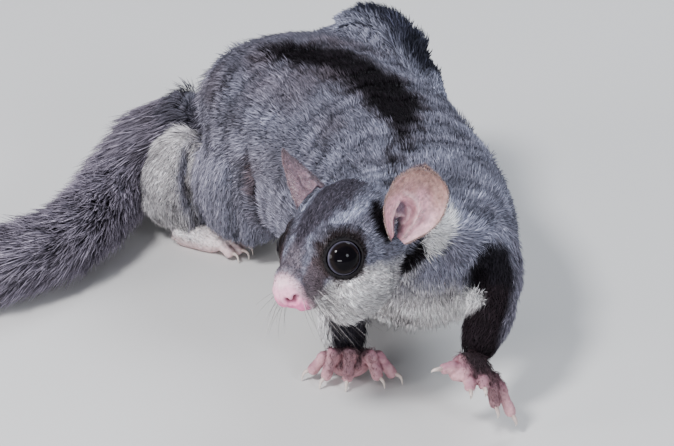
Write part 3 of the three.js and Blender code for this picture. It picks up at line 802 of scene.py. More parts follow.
# The nostrils are comma-shaped hollows, and a groove parts the nose and the upper lip.
NOSTRIL = [(15.4, 3.4, -5.7), (15.6, 3.1, -6.8), (16.4, 2.1, -7.1), (17.0, 1.8, -6.2)]
GROOVE = [(18.3, 0, -5.4), (18.2, 0, -7.6), (17.4, 0, -10.2)]
MOUTH = [(17.6, 0, -10.4), (14.4, 3.6, -10.6), (10.4, 5.6, -10.2), (6.4, 7.2, -9.4)]
side_on = mirrored(to_head(head["points"]))
nostril = polyline_distance(side_on, NOSTRIL)[0]
hollow = -1.3 * np.exp(-((nostril / 0.5) ** 2)) + 0.35 * np.exp(-(((nostril - 1.2) / 0.5) ** 2))
hollow -= 0.5 * np.exp(-((polyline_distance(side_on, GROOVE)[0] / 0.42) ** 2))
mouth = polyline_distance(side_on, MOUTH)[0]
hollow -= 0.6 * np.exp(-((mouth / 0.45) ** 2))
head["nostril"], head["mouth"] = nostril, mouth
hollow += 0.14 * noise(head["points"], 0.9, 26) * smooth(13.5, 15, side_on[:, 0])
head["points"] = head["points"] + head["normals"] * hollow[:, None]
head["normals"] = normals_of(head["points"], head["triangles"])


# Paws: each has a palm or sole and five bent digits with claws

PAW_VOXEL = 0.3
FOOT_LENGTHENING = 1.15
HAND_RIGHT = {
    "palm": [
        (3, 6.5, 6.6, 3.4, 3.2, 3.2),
        (3.2, 4, 4.8, 4.8, 3.2, 4.6),
        (3.4, 1.6, 4.0, 5, 2.6, 3.6),
        (3.6, -0.2, 3.6, 3.4, 2, 2.8),
    ],
    "dorsal": (0, 0, 1),
    "radius": 1.85,
    "digits": [
        ((-0.6, 3.8, 4.4), (-6.8, 1.8, 1.6), 2.6),
        ((0.8, 2.2, 5), (-3, -1.6, 1.5), 5.0),
        ((3.6, 1.8, 5), (2.6, -2.6, 1.5), 5.6),
        ((6.2, 2.2, 4.8), (10.4, -1.4, 1.5), 4.6),
        ((7.2, 3.8, 4.4), (14.4, 0.2, 1.5), 3.2),
    ],
}
HAND_LEFT = {
    "palm": [
        (34.6, -19, 18.2, 3.6, 3.4, 3.4),
        (33, -21, 16.6, 5.4, 3, 3),
        (32.4, -22.6, 15.2, 6, 2.8, 2.8),
        (32.4, -23.6, 14, 4.6, 2.4, 2.4),
    ],
    "dorsal": (0.1, -0.72, 0.68),
    "radius": 1.7,
    "digits": [
        ((29, -21.4, 17), (24.6, -24, 17.6), 0.8),
        ((31.5, -23.4, 14.6), (31.8, -27.4, 13.6), 1.4),
        ((34.6, -22.8, 15), (35.2, -27, 14), 1.6),
        ((36, -21.6, 14.6), (38.2, -25, 7.6), 1.6),
        ((37, -20.4, 15), (42.4, -23.4, 4.2), 1.8),
    ],
}
FOOT = {
    "palm": [
        (0, 0, 3.6, 3.6, 3.4, 4.2),
        (5, 0, 3.2, 3.8, 3, 3.8),
        (10, 0, 2.8, 4.2, 2.8, 3.4),
        (13.4, 0, 2.3, 3.9, 2.3, 2.9),
    ],
    "dorsal": (0, 0, 1),
    "radius": 1.7,
    "digits": [
        ((6.5, 2, 2.6), (8.6, 7.2, 1.3), 1.0),
        ((11.5, 2.4, 2.4), (17, 3.4, 1.3), 1.7),
        ((12, 0.8, 2.4), (18.4, 1, 1.3), 1.8),
        ((12, -0.9, 2.4), (18.6, -1.6, 1.3), 1.8),
        ((11.5, -2.4, 2.4), (17.2, -4.2, 1.3), 1.7),
    ],
}
FEET = {"right": ((-44.5, 77.5), -24, 1), "left": ((-1, 112), -47, -1)}


def digit_pieces(root, end, arch, dorsal, radius):
    """A digit's flesh with its knuckles and pad, and the stations of its claw."""
    root, end, dorsal = (np.array(v, float) for v in (root, end, dorsal))
    dorsal = unit(dorsal)
    away = unit(end - root)
    knuckle = mix(root, end, 0.42) + dorsal * arch
    last = mix(root, end, 0.8) + dorsal * arch * 0.45
    bones = [
        (*root, radius * 1.06),
        (*mix(root, knuckle, 0.55), radius * 0.86),
        (*knuckle, radius * 1.0),
        (*mix(knuckle, last, 0.5), radius * 0.78),
        (*last, radius * 0.86),
        (*end, radius * 0.98),
    ]
    flesh = sweep(bones, 12, 16, dorsal + [0.013, 0.017, 0.011], 8)
    base = end + dorsal * radius * 0.42
    claw = [
        base - away * 0.8,
        base + away * 0.9 + dorsal * 0.6,
        base + away * 2.0 + dorsal * 0.1,
        base + away * 2.3 - dorsal * 2.1,
    ]
    return flesh, claw


def paw(table, place=lambda p: p):
    """A paw's flesh, remeshed as one, with its claws' paths."""
    pieces = [sweep([(*place(s[:3]), *s[3:]) for s in table["palm"]], 16, 14, table["dorsal"])]
    claws = []
    for root, end, arch in table["digits"]:
        flesh, claw = digit_pieces(place(root), place(end), arch, table["dorsal"], table["radius"])
        pieces.append(flesh)
        claws.append(claw)
    points, quads = remeshed(pieces, PAW_VOXEL)
    triangles = halves(quads)
    points = Smoother(len(points), triangles)(points, 7, 0.5)
    creases = noise(points, 0.8, 31) * 0.1 + noise(points, 0.42, 32) * 0.04
    points = points + normals_of(points, triangles) * creases[:, None]
    points[:, 2] = np.maximum(points[:, 2], 0.02)
    return dict(points=points, quads=quads, triangles=triangles), claws


def foot_place(side):
    (x, y), heading, inner = FEET[side]
    turn = np.array(Matrix.Rotation(math.radians(heading), 3, "Z"))

    def place(p):
        flipped = np.array([p[0] * FOOT_LENGTHENING, p[1] * inner, p[2]], float)
        return turn @ flipped + [x, y, 0]

    return place


PAWS = {
    "hand_right": paw(HAND_RIGHT),
    "hand_left": paw(HAND_LEFT),
    "foot_right": paw(FOOT, foot_place("right")),
    "foot_left": paw(FOOT, foot_place("left")),
}
for made, _ in PAWS.values():
    made["normals"] = normals_of(made["points"], made["triangles"])


# Markings, with some painted light and shade, the same for skin and coat

DORSAL = [
    (13.5, 6, 53.6),
    (16, 20, 52.6),
    (17, 30, 52.4),
    (17, 42, 52.4),
    (15.5, 52, 52.4),
    (11, 62, 52.8),
    (6, 70, 53.5),
    (-1, 75, 54),
    (-8, 78, 53.6),
    (-16, 82, 51),
]
DORSAL_WIDTHS = np.array([1.5, 1.7, 2.2, 3.8, 6.4, 8.0, 7.8, 6.6, 5.6, 3.4])
ARM_BLACK = [(37.5, 3, 34), (38.4, -5, 30), (37.0, -11, 27), (35.0, -17, 22.5), (33.6, -20, 19)]
ARM_WHITE = [(34.2, -8, 27.4), (33.2, -3, 25.4), (31.4, 4, 22)]


def head_marks(paint):
    """The marks of the head, which run on over the neck."""
    place = paint.h
    paint.h = mirrored(paint.h)
    crown = [(10, 0, 4.6), (5.4, 0, 7.7), (0.6, 0, 9.9), (-3.1, 0, 11.6), (-7.4, 0, 12), (-12, 0, 12)]
    crown += [(-17, 0, 11.8), (-23, 0, 11)]
    widths = [1.3, 3.9, 5.2, 5.7, 5.3, 4.6, 3.0, 1.8]
    paint.stroke(BLACK * 4.6 + GREY * 0.24, crown, widths, 3.0, 0.9, True, 0.9)
    front = [(-10.5, 9.6, 9.2), (-9.0, 10.9, 6.4), (-8.4, 11.7, 3.4), (-9.4, 12.2, 0.6)]
    paint.stroke(BLACK, front, [1.6, 2.5, 2.4, 1.5], 1.5, 1.0, True)
    below = [(-25, 11.6, -6.4), (-21, 10.8, -7.2), (-17.9, 9.4, -9.2), (-14.4, 10.2, -10.2)]
    paint.stroke(BLACK, below, [1.6, 2.9, 3.3, 2.2], 1.4, 1.0, True)
    paint.stroke(SILVER, [(-11.4, 12, -1.4), (-13.4, 12, -1.8)], [0.8, 0.8], 1.0, 0.75, True)
    paint.h = place
    white = [(22, -2, 42), (24.8, 0, 43), (26.3, 2.3, 45), (26.5, 4, 47.5)]
    paint.stroke(WHITE, white, [1.2, 2.1, 2.2, 1.6], 1.6, 0.92)


def body_paint(surface):
    """Colours of the trunk, limbs and tail."""
    paint = Paint(surface["points"], surface["normals"], GREY)
    p, n = paint.p, paint.n
    kinds = np.array(surface["kinds"])[surface["labels"]]
    soft = Smoother(len(p), surface["triangles"])

    def region(*names):
        return soft(np.isin(kinds, names).astype(float), 6)

    agouti = noise(p, 2.4, 41) * 0.5 + noise(p, 6.5, 42) * 0.5
    paint.over(SILVER, 0.42 + 0.42 * agouti)
    # Painted highlight: the upward-facing tops of the shoulders and neck are painted paler, bluer silver
    # where the top light falls.
    paint.over(SILVER * 1.3, smooth(26, 5, p[:, 1]) * smooth(0.1, 0.9, n[:, 2]), 0.45)
    paint.over(SLATE * 1.7, smooth(52, 84, p[:, 1]) * smooth(0.0, 0.7, n[:, 2]) * (p[:, 0] < 6), 0.45)
    # Painted light: the side of the haunch and rump that faces the low lamp on the left is painted paler.
    left = smooth(0.1, 0.8, -n[:, 0]) * region("thigh", "belly", "rump", "membrane", "chest")
    left *= smooth(-8, -18, p[:, 0]) * smooth(46, 36, p[:, 2])
    paint.over(SILVER * [1.3, 1.2, 1.12], left, 0.5)
    paint.over(SLATE, smooth(0.1, 0.8, noise(p, 8, 43)) * 0.4)
    paint.over(BROWN * 1.7, smooth(0.1, 0.8, noise(p, 11, 44)) * region("thigh", "belly", "rump"), 0.28)
    under = smooth(0.1, 0.85, -n[:, 2]) * region("chest", "belly", "rump", "neck")
    paint.over(CREAM * 0.75, under, 0.85)
    breast = smooth(31, 20, p[:, 2] + paint.ragged * 3) * smooth(18, 9, p[:, 1])
    paint.over(CREAM, breast * region("chest", "neck", "head", "belly"), 0.92)
    paint.over(SLATE * 1.5, region("tail"), 0.75)
    paint.over(SILVER, region("membrane") * (p[:, 0] > -9), 0.7)
    # Painted shade: a dark slate patch in the fold beside the flank crease.
    paint.stroke(SLATE * 0.8, [(-24, 58, 26), (-22, 56, 20)], [3.2, 3.2], 4, 0.6)
    spread = DORSAL_WIDTHS * 1.3 + 0.4
    paint.stroke(BROWN * 0.55, DORSAL, spread, 5.0, 0.62, ragged=0.9)
    paint.stroke(BLACK, DORSAL, DORSAL_WIDTHS, 4.0, 1.0, ragged=1.2)
    fold_top = [(34, 55, 45), (27, 71, 48), (21.5, 85, 51)]
    paint.stroke(SLATE, fold_top, [3.0, 4.0, 3.6], 5.0, 0.6)
    paint.over(CREAM * 0.7, region("shank") * (p[:, 0] < -36) * smooth(-0.9, 0.2, -n[:, 0]), 0.8)
    # Painted shade: the haunch, flank and ankle creases are painted dark brown along their furrows.
    paint.stroke(BROWN * 0.8, HAUNCH_CREASE, [0.6, 1.0, 1.3, 1.3, 1.0], 1.5, 0.9)
    paint.stroke(BROWN * 0.9, FLANK_CREASE, [1.0, 1.8, 2.0, 1.8], 2.6, 0.75)
    paint.stroke(BROWN * 0.8, ANKLE_CREASE, [0.5, 0.9, 0.6], 1.0, 0.8)
    paint.stroke(BLACK, ARM_BLACK, [4.6, 6.0, 6.2, 6.0, 5.2], 2.4, 0.97)
    paint.stroke(BLACK, [(33.5, 4, 30), (34.5, -3, 32)], [2.4, 3.0], 2.0, 0.95)
    paint.over(BLACK * 1.4 + BROWN * 0.08, region("forearm") * (p[:, 0] > 26), 0.97)
    outer = smooth(0.6, 0.92, n[:, 0]) * smooth(38, 41, p[:, 0]) * region("upper_arm", "forearm")
    paint.over(GREY * 1.5, outer, 0.8)
    paint.stroke(WHITE, ARM_WHITE, [2.0, 2.5, 3.2], 1.8, 0.95)
    fore = region("forearm", "upper_arm") * (p[:, 0] < 12) * smooth(24, 20, p[:, 2])
    paint.over(BLACK * 1.6, fore, 0.95)
    paint.stroke(WHITE, [(-4.8, 12, 18), (-3.4, 8, 11), (-2.0, 6, 6)], [3.4, 2.8, 2.2], 1.2, 0.95)
    head_marks(paint)
    return paint


def head_paint(surface):
    """Colours of the head: a dark stripe, pale brows, brown rings, cream cheeks and black marks."""
    paint = Paint(surface["points"], surface["normals"], GREY * 1.1)
    plain = paint.h
    h = mirrored(paint.h)
    paint.h = h
    near, away = eye_distance(paint.p)
    ragged = paint.ragged
    paint.over(SILVER, 0.5 + 0.4 * noise(paint.p, 1.6, 51))
    low = smooth(-3.5, -9, h[:, 2]) * smooth(-22, -8, h[:, 0])
    paint.over(CREAM * 0.75, low, 0.85)
    cheek = [(9, 6, -9.6), (5, 8, -7.4), (0, 11.2, -7.0), (-5, 13.2, -8.0)]
    paint.stroke(CREAM, cheek, [2.4, 3.4, 4.0, 3.2], 2.6, 0.97, True)
    jaw = [(12, 3, -12), (3, 5, -17), (-8, 7, -20)]
    paint.stroke(CREAM, jaw, [3, 6, 7], 5, 0.85, True)
    brow = [(4.4, 4.8, 6.6), (0, 6.6, 8.2), (-4, 8.4, 8.6)]
    paint.stroke(SILVER * 1.7, brow, [1.3, 1.9, 1.8], 1.6, 0.85, True)
    paint.stroke(SILVER * 1.5, [(-4, 8.4, 8.4), (-11, 7.6, 9.9)], [1.6, 1.4], 2.0, 0.6, True)
    edge = [(9.6, 1.6, 4.2), (7, 3.0, 5.4), (3, 4.2, 7.2)]
    paint.stroke(SILVER * 1.5, edge, [0.7, 0.9, 0.9], 1.2, 0.7, True)
    side = [(7.8, 6.2, 2.0), (9.4, 5.4, -2), (10.8, 4.9, -5.2), (12.4, 4.7, -8.6)]
    paint.stroke(BROWN * 1.1 + GREY * 0.42, side, [1.8, 3.4, 3.8, 2.6], 3.0, 0.9, True, 1.0)
    paint.stroke(BROWN + GREY * 0.45, [(9.4, 0, 4.4), (14, 0, 0)], [2.2, 3.4], 2.4, 0.75, True)
    upper = smooth(-3, 3.4, away[:, 2] + 0.3 * away[:, 0])
    ring = 1 - smooth(mix(4.9, 5.7, upper), mix(6.2, 8.9, upper), near + ragged * 1.1)
    paint.over(BROWN * 0.38, ring, 0.93)
    paint.over(BROWN * 0.14, 1 - smooth(mix(4.8, 5.2, upper), mix(5.5, 6.5, upper), near), 0.92)
    for spot in ((-3.6, 12.6, -4.6), (-4.6, 13.1, -6.4)):
        paint.stroke(BLACK * 3, [spot, np.array(spot) + [-0.6, 0, -0.9]], [0.3, 0.3], 0.5, 0.8, True)
    paint.h = plain
    head_marks(paint)
    paint.h = h
    paint.over(LID, 1 - smooth(4.95, 5.4, near + ragged * 0.1), 0.98)
    tip = h[:, 0] - 0.32 * (h[:, 2] + 4) + ragged * 0.5
    paint.over(NOSE_PINK * 0.6 + CREAM * 0.25, smooth(12.9, 14.3, tip), 0.85)
    nose = smooth(14.1, 15.6, tip)
    paint.over(NOSE_PINK, nose, 0.95)
    paint.over(CREAM * [0.94, 0.78, 0.84], nose * smooth(-4.6, -1.6, h[:, 2] + ragged), 0.6)
    # The nose's underside is a deeper, darker pink: partly its own colour, partly painted shade.
    pink_and_shade_below = nose * smooth(-4.5, -9, h[:, 2] + ragged)
    paint.over(NOSE_PINK * [0.9, 0.42, 0.68], pink_and_shade_below, 0.85)
    paint.over(CREAM, smooth(-9.8, -10.8, h[:, 2]) * smooth(9, 12, h[:, 0]), 0.8)
    paint.over(BROWN * 0.8, 1 - smooth(0.2, 0.6, surface["mouth"]), 0.75)
    # The nostrils are painted near black-red: their dark pink lining, with painted shade for the depth of
    # their openings.
    paint.over(np.array([0.09, 0.012, 0.022]), 1 - smooth(0.25, 0.7, surface["nostril"]), 0.97)
    return paint


WRISTS = {
    "hand_right": ((3, 7.4, 8), (3.4, -2.2, 5), 7.4, BLACK * 2 + BROWN * 0.25),
    "hand_left": ((34.4, -18.4, 18.6), (35.5, -23.6, 12), 6.4, BLACK * 2 + BROWN * 0.25),
    "foot_right": ((-46, 78, 5), (-33.5, 72.6, 3.6), 8, CREAM * 0.95),
    "foot_left": ((-1, 112, 4), (8, 104, 3.4), 8, CREAM * 0.8),
}
PAW_TABLES = {"hand_right": HAND_RIGHT, "hand_left": HAND_LEFT, "foot_right": FOOT, "foot_left": FOOT}


def paw_paint(paw_name, made):
    """Pink bare skin, mauve over the knuckles, with painted shade in its creases and a painted highlight
    on its ridges, furred towards the wrist.
    """
    paint = Paint(made["points"], made["normals"], PINK)
    paint.over(PINK * [0.62, 0.5, 0.62], smooth(0.0, 0.8, paint.n[:, 2]) * 0.6 + 0.25)
    paint.over(PINK * [1.3, 1.35, 1.35], smooth(0.1, 0.8, noise(paint.p, 2.2, 61)), 0.4)
    if "foot" in paw_name:
        paint.over(CREAM * [0.78, 0.68, 0.66], np.ones(len(paint.p)), 0.6)
    # Painted shade darkens the hollows and creases, and a painted highlight lightens the ridges, by how
    # far the surface lies from its smoothed copy.
    soft = softened(made, paint.p, 26)
    hollow = ((soft - paint.p) * paint.n).sum(1)
    paint.over(PINK * [0.26, 0.13, 0.17], smooth(0.0, 0.2, hollow), 0.9)
    paint.over(PINK * [1.4, 1.45, 1.55], smooth(0.12, 0.5, -hollow), 0.3)
    start, end, reach, colour = WRISTS[paw_name]
    distance, where = polyline_distance(paint.p, np.array([start, end], float))
    upper = smooth(-0.35, 0.35, made["normals"] @ unit(np.array(PAW_TABLES[paw_name]["dorsal"], float)))
    share = smooth(reach, reach * 0.6, distance) * upper * (1 - 0.6 * where)
    paint.over(colour, share * 1.3)
    made["fields"] = np.column_stack([share * 0, 2.4 - 1.5 * where, 0.15 + 0 * share, 12 * share])
    made["lie"] = np.repeat([unit(np.array(end, float) - start)], len(share), axis=0)
    return paint


body["colour"] = body_paint(body).colour
head["colour"] = head_paint(head).colour
for paw_name, (made, _) in PAWS.items():
    made["colour"] = paw_paint(paw_name, made).colour

# The skin is one piece: trunk, head and paws.

PARTS = [body, head] + [made for made, _ in PAWS.values()]
starts = np.cumsum([0] + [len(part["points"]) for part in PARTS])
skin_points = np.vstack([part["points"] for part in PARTS])
skin_quads = np.vstack([part["quads"] + start for part, start in zip(PARTS, starts)])


def fast_mesh(name, points, corners, per_face, colours):
    """A mesh from arrays, with every face of the same number of corners."""
    mesh = bpy.data.meshes.new(name)
    mesh.vertices.add(len(points))
    mesh.vertices.foreach_set("co", to_row(points).astype(np.float32).ravel())
    mesh.loops.add(corners.size)
    mesh.loops.foreach_set("vertex_index", corners.astype(np.int32).ravel())
    count = corners.size // per_face
    mesh.polygons.add(count)
    mesh.polygons.foreach_set("loop_start", np.arange(0, corners.size, per_face, dtype=np.int32))
    mesh.polygons.foreach_set("loop_total", np.full(count, per_face, np.int32))
    mesh.update(calc_edges=True)
    colour_layer(mesh, colours)
    return mesh


FLESH = BODY_NODES + list(PAWS)
skin = new_object(
    "skin",
    fast_mesh("skin", skin_points, skin_quads, 4, np.vstack([part["colour"] for part in PARTS])),
    painted_material(
        "skin", 0.58, 0.2, 1400, 0.84, 1.14, 6, (0.5, 0.00025), (0.06, (0.0012, 0.0005, 0.0003))
    ),
)
finished(skin, "skin", *FLESH)


# Unwrap of the skin's own shape, which places every tuft's colours


class Unwrap:
    """A coarse copy of a surface, flattened in pieces, which gives each root its place."""

    def __init__(self, points, quads, voxel=2.2):
        coarse, faces = remeshed([(points, [tuple(q) for q in quads])], voxel)
        mesh = new_mesh("unwrap", coarse, [tuple(int(i) for i in f) for f in faces], metres=False)
        piece = bpy.data.objects.new("unwrap", mesh)
        bpy.context.scene.collection.objects.link(piece)
        bpy.ops.object.select_all(action="DESELECT")
        piece.select_set(True)
        bpy.context.view_layer.objects.active = piece
        bpy.ops.object.mode_set(mode="EDIT")
        bpy.ops.mesh.select_all(action="SELECT")
        bpy.ops.uv.smart_project(angle_limit=math.radians(66), island_margin=0.004)
        bpy.ops.object.mode_set(mode="OBJECT")
        mesh.calc_loop_triangles()
        uv = np.empty(len(mesh.loops) * 2)
        mesh.uv_layers.active.data.foreach_get("uv", uv)
        loops = np.empty(len(mesh.loop_triangles) * 3, np.int32)
        mesh.loop_triangles.foreach_get("loops", loops)
        self.points, self.triangles = arrays(mesh)
        self.uv = uv.reshape(-1, 2)[loops.reshape(-1, 3)]
        self.tree = tree_of(self.points, self.triangles)
        bpy.data.objects.remove(piece)
        bpy.data.meshes.remove(mesh)

    def __call__(self, roots):
        found = [self.tree.find_nearest(Vector(r)) for r in roots]
        near = np.array([list(f[0]) for f in found])
        index = np.array([f[2] for f in found])
        a, b, c = (self.points[self.triangles[index, i]] for i in range(3))
        v0, v1, v2 = b - a, c - a, near - a
        d00, d01, d11 = (v0 * v0).sum(1), (v0 * v1).sum(1), (v1 * v1).sum(1)
        d20, d21 = (v2 * v0).sum(1), (v2 * v1).sum(1)
        whole = np.maximum(d00 * d11 - d01 * d01, 1e-12)
        second = (d11 * d20 - d01 * d21) / whole
        third = (d00 * d21 - d01 * d20) / whole
        weights = np.clip(np.column_stack([1 - second - third, second, third]), 0, 1)
        return (self.uv[index] * weights[..., None]).sum(1)


# Coat: closed, tapered tufts, each with its root sunk in the skin

TUFT_PATCH = 0.003
TUFT_FLOOR = 0.25
TUFT_SUNK = 0.28


def hashed_rows(count):
    """A repeatable share between 0 and 1 for each of a number of rows."""
    return np.modf(np.arange(count) * 0.6180339887)[0]


FUR = painted_material("fur", 0.75, 0.06, 900, 0.82, 1.16)
TUFT_TOTAL = 1.0


def limb_lie(points, owners):
    """For each point, the direction along the path of the part that it belongs to."""
    out = np.zeros((len(points), 3))
    for name in set(owners):
        mask = owners == name
        path = LIMBS.get(name)
        if path is None:
            path = TAIL if name == "tail" else TORSO
        path = np.asarray(path, float)
        _, where = polyline_distance(points[mask], path)
        i = np.clip(where.astype(int), 0, len(path) - 2)
        out[mask] = unit(path[i + 1] - path[i])
    return out


def body_lie(surface):
    names = np.array(BODY_NODES + ["tail"])[surface["labels"]]
    out = limb_lie(surface["points"], names)
    trunk = np.isin(names, ["neck", "chest", "belly", "rump"])
    sag = smooth(0.9, 0.1, surface["normals"][:, 2]) * trunk
    out += np.array([0, 0, -1.0]) * (0.75 * sag)[:, None]
    fold = np.char.startswith(names, "membrane")
    out[fold] += [0, 0.2, 0.45]
    return softened(surface, out, 20)


def head_lie(surface):
    h = to_head(surface["points"])
    side = np.sign(h[:, 1] + 1e-6)
    low = smooth(4, -8, h[:, 2])
    out = np.column_stack([-np.ones(len(h)), 0.25 * side * low, 0.22 - 0.62 * low])
    near, away = eye_distance(surface["points"])
    away = np.column_stack([away[:, 0], away[:, 1] * side, away[:, 2]])
    out += unit(away) * (1.1 * (1 - smooth(6, 11, near)))[:, None]
    return softened(surface, out @ HEAD_TURN.T, 10)


def scattered(surface, density):
    """Random places on a surface, with a density at each point, as corners and weights."""
    t = surface["triangles"]
    a, b, c = (surface["points"][t[:, i]] for i in range(3))
    area = np.linalg.norm(np.cross(b - a, c - a), axis=1) / 2
    expected = area * density[t].mean(axis=1) * TUFT_TOTAL
    counts = np.floor(expected + RNG.random(len(t))).astype(int)
    index = np.repeat(np.arange(len(t)), counts)
    u, v = RNG.random(len(index)), RNG.random(len(index))
    over = u + v > 1
    u, v = np.where(over, 1 - u, u), np.where(over, 1 - v, v)
    return t[index], np.column_stack([1 - u - v, u, v])


def sampled(values, corners, weights):
    picked = values[corners]
    if picked.ndim == 2:
        return (picked * weights).sum(1)
    return (picked * weights[..., None]).sum(1)


def tuft_mesh(
    name, roots, normals, lie, length, width, rise, colour, unwrap, rings=1, bend=0.35, salt=0.2, curl=0.34
):
    """Closed tufts: a sunk root point, rings of three points and a tip."""
    count = len(roots)
    lie = unit(lie - normals * (lie * normals).sum(1, keepdims=True))
    swirl = np.stack([noise(roots, 2.3, s) for s in (71, 72, 73)], axis=1)
    lie = unit(lie + swirl * curl + RNG.normal(0, 0.12, (count, 3)))
    lie = unit(lie - normals * (lie * normals).sum(1, keepdims=True))
    side = np.cross(normals, lie)
    steps = {1: [0.42], 2: [0.3, 0.68], 3: [0.22, 0.5, 0.78]}[rings]
    taper = {1: [1.0], 2: [1.0, 0.72], 3: [0.85, 1.0, 0.62]}[rings]
    shares = [0.0] + steps + [1.0]
    angle = rise * RNG.uniform(0.75, 1.3, count)
    centre = roots - normals * TUFT_SUNK
    path = [centre]
    place = roots.copy()
    for k in range(1, len(shares)):
        lift = angle * (1 - (1 - bend) * (k - 1) / rings)
        step = (length * (shares[k] - shares[k - 1]))[:, None]
        place = place + (lie * np.cos(lift)[:, None] + normals * np.sin(lift)[:, None]) * step
        path.append(place)
    path[-1] = path[-1] + swirl[:, [1, 2, 0]] * (length * 0.07)[:, None]
    for step in path[1:]:
        step[:, 2] = np.maximum(step[:, 2], TUFT_FLOOR + 0.25 * hashed_rows(count))
    twist = RNG.normal(0, 0.5, count)
    across = side * np.cos(twist)[:, None] + normals * np.sin(twist)[:, None]
    over = np.cross(lie, across)
    rows = [path[0][:, None]]
    for k in range(1, len(shares) - 1):
        w = (width * taper[k - 1] / 2)[:, None]
        middle = path[k]
        ring = [middle - across * w, middle + across * w, middle - over * w * 0.8]
        rows.append(np.stack(ring, axis=1))
    rows.append(path[-1][:, None])
    points = np.concatenate(rows, axis=1)
    each = points.shape[1]
    faces = []
    for j in range(3):
        faces.append((0, 1 + j, 1 + (j + 1) % 3))
        for k in range(rings - 1):
            a, b = 1 + 3 * k + j, 1 + 3 * k + (j + 1) % 3
            faces += [(a, a + 3, b), (b, a + 3, b + 3)]
        last = 1 + 3 * (rings - 1)
        faces.append((last + j, each - 1, last + (j + 1) % 3))
    corners = np.array(faces)[None] + (np.arange(count) * each)[:, None, None]
    level = [0.0] + [s for s in steps for _ in range(3)] + [1.0]
    # Each tuft is darker at its root and paler at its tip: partly the hairs' own darker roots, partly
    # painted shade deep in the coat.
    shade = mix(0.5, 1.12, np.array(level) ** 0.7)
    varied = colour * RNG.normal(1, salt, (count, 1)).clip(0.35, 1.8)
    ticked = RNG.random(count)[:, None]
    tips = np.where(ticked > 0.8, 1.7, np.where(ticked < 0.18, 0.5, 1.0))
    tone = 1 + (tips[:, None] - 1) * np.array(level)[None, :, None]
    colours = (varied[:, None] * shade[None, :, None] * tone).reshape(-1, 3)
    mesh = fast_mesh(name, points.reshape(-1, 3), corners.reshape(-1, 3), 3, colours.clip(0, 0.95))
    uv = unwrap(roots)
    ring_angle = np.array([0.0] + [2.1 * j for _ in steps for j in range(3)] + [0.0])
    reach = np.array([0.0] + [0.5] * (3 * rings) + [0.5])
    patch = np.column_stack([reach * np.cos(ring_angle), reach * np.sin(ring_angle)]) * TUFT_PATCH
    place = (uv[:, None] + patch[None]).clip(0.001, 0.999).reshape(-1, 2)
    layer = mesh.uv_layers.new(name="OFBake")
    layer.data.foreach_set("uv", place[corners.ravel()].astype(np.float32).ravel())
    return mesh


def coat_piece(name, slot, nodes, *args, **options):
    return finished(new_object(name, tuft_mesh(name, *args, **options), FUR), slot, *nodes)


body["lie"] = body_lie(body)
head["lie"] = head_lie(head)
body["unwrap"] = Unwrap(body["points"], body["quads"])
head["unwrap"] = Unwrap(head["points"], head["quads"], 1.6)
names = np.array(BODY_NODES + ["tail"])[body["labels"]]


def grow_coat(name, slot, surface, chosen, density, rise, ripple_shade=0.62, salt=0.2, curl=0.3):
    """A coat of short tufts over the chosen points of a surface."""
    mask = softened(surface, chosen.astype(float), 2) > 0.5
    corners, weights = scattered(surface, surface["fields"][:, 3] * density * mask)
    pick = lambda values: sampled(values, corners, weights)
    roots = pick(surface["points"])
    ripple = 1 + 0.2 * wrinkle(roots)
    length = pick(surface["fields"][:, 1]) * ripple * RNG.uniform(0.72, 1.2, len(roots))
    width = pick(surface["fields"][:, 2]) * RNG.uniform(0.86, 1.3, len(roots))
    colour = pick(surface["colour"]) * (1 + ripple_shade * wrinkle(roots)).clip(0.35, 1.6)[:, None]
    return coat_piece(
        name, slot, [], roots, unit(pick(surface["normals"])), pick(surface["lie"]),
        length, width, rise, colour, surface["unwrap"], salt=salt, curl=curl,
    )


def along_body(low, high):
    _, where = polyline_distance(body["points"], TORSO)
    return (where >= low) & (where < high)


trunk = np.isin(names, ["neck", "chest", "belly", "rump"])
fold = np.char.startswith(names, "membrane")
arms = np.char.startswith(names, "upper_arm") | np.char.startswith(names, "forearm")
legs = np.char.startswith(names, "thigh") | np.char.startswith(names, "shank")
trunk |= (names == "tail") & (np.linalg.norm(body["points"] - TAIL[0], axis=1) < 13)
head_low = to_head(head["points"])
snout = smooth(4, 12, head_low[:, 0])
near_eye = eye_distance(head["points"])[0]
bare = (near_eye < 4.6) | (head_low[:, 0] - 0.32 * (head_low[:, 2] + 4) > 15.3)
head["fields"][:, 1] = mix(1.9, 0.75, snout) * (0.34 + 0.66 * smooth(4.8, 6.8, near_eye))
jaw = smooth(-7, -12, head_low[:, 2]) * smooth(13, 8, head_low[:, 0])
head["fields"][:, 1] += 1.2 * jaw
head["fields"][:, 2] = mix(0.19, 0.13, snout)
thin = 1 - 0.8 * smooth(13.4, 15.2, head_low[:, 0])
head["fields"][:, 3] = 13.0 * mix(1.0, 1.35, snout) * thin
CLOSE = 0.63

# Longer hair hangs from the breast and armpit, and runs from the rump on to the tail.
place, facing = body["points"], body["normals"]
breast = smooth(0.15, -0.5, facing[:, 2]) * smooth(22, 8, place[:, 1]) * smooth(31, 25, place[:, 2])
breast *= smooth(6, 13, place[:, 0]) * smooth(38, 33, place[:, 0])
body["fields"][:, 1] += 1.5 * breast
body["lie"] += np.array([0, 0.2, -0.9]) * breast[:, None]
tail_root = smooth(24, 9, np.linalg.norm(place - TAIL[0], axis=1))
body["fields"][:, 1] += 2.6 * tail_root
body["lie"] += unit(np.array([-10, 1, -6.0])) * (1.5 * tail_root)[:, None]
wrist = (names == "forearm_right").astype(float)
body["fields"][:, 1] += 1.6 * wrist
heel = smooth(11, 4, np.linalg.norm(place - [-39.5, 75, 7], axis=1))
body["fields"][:, 1] += 1.6 * heel

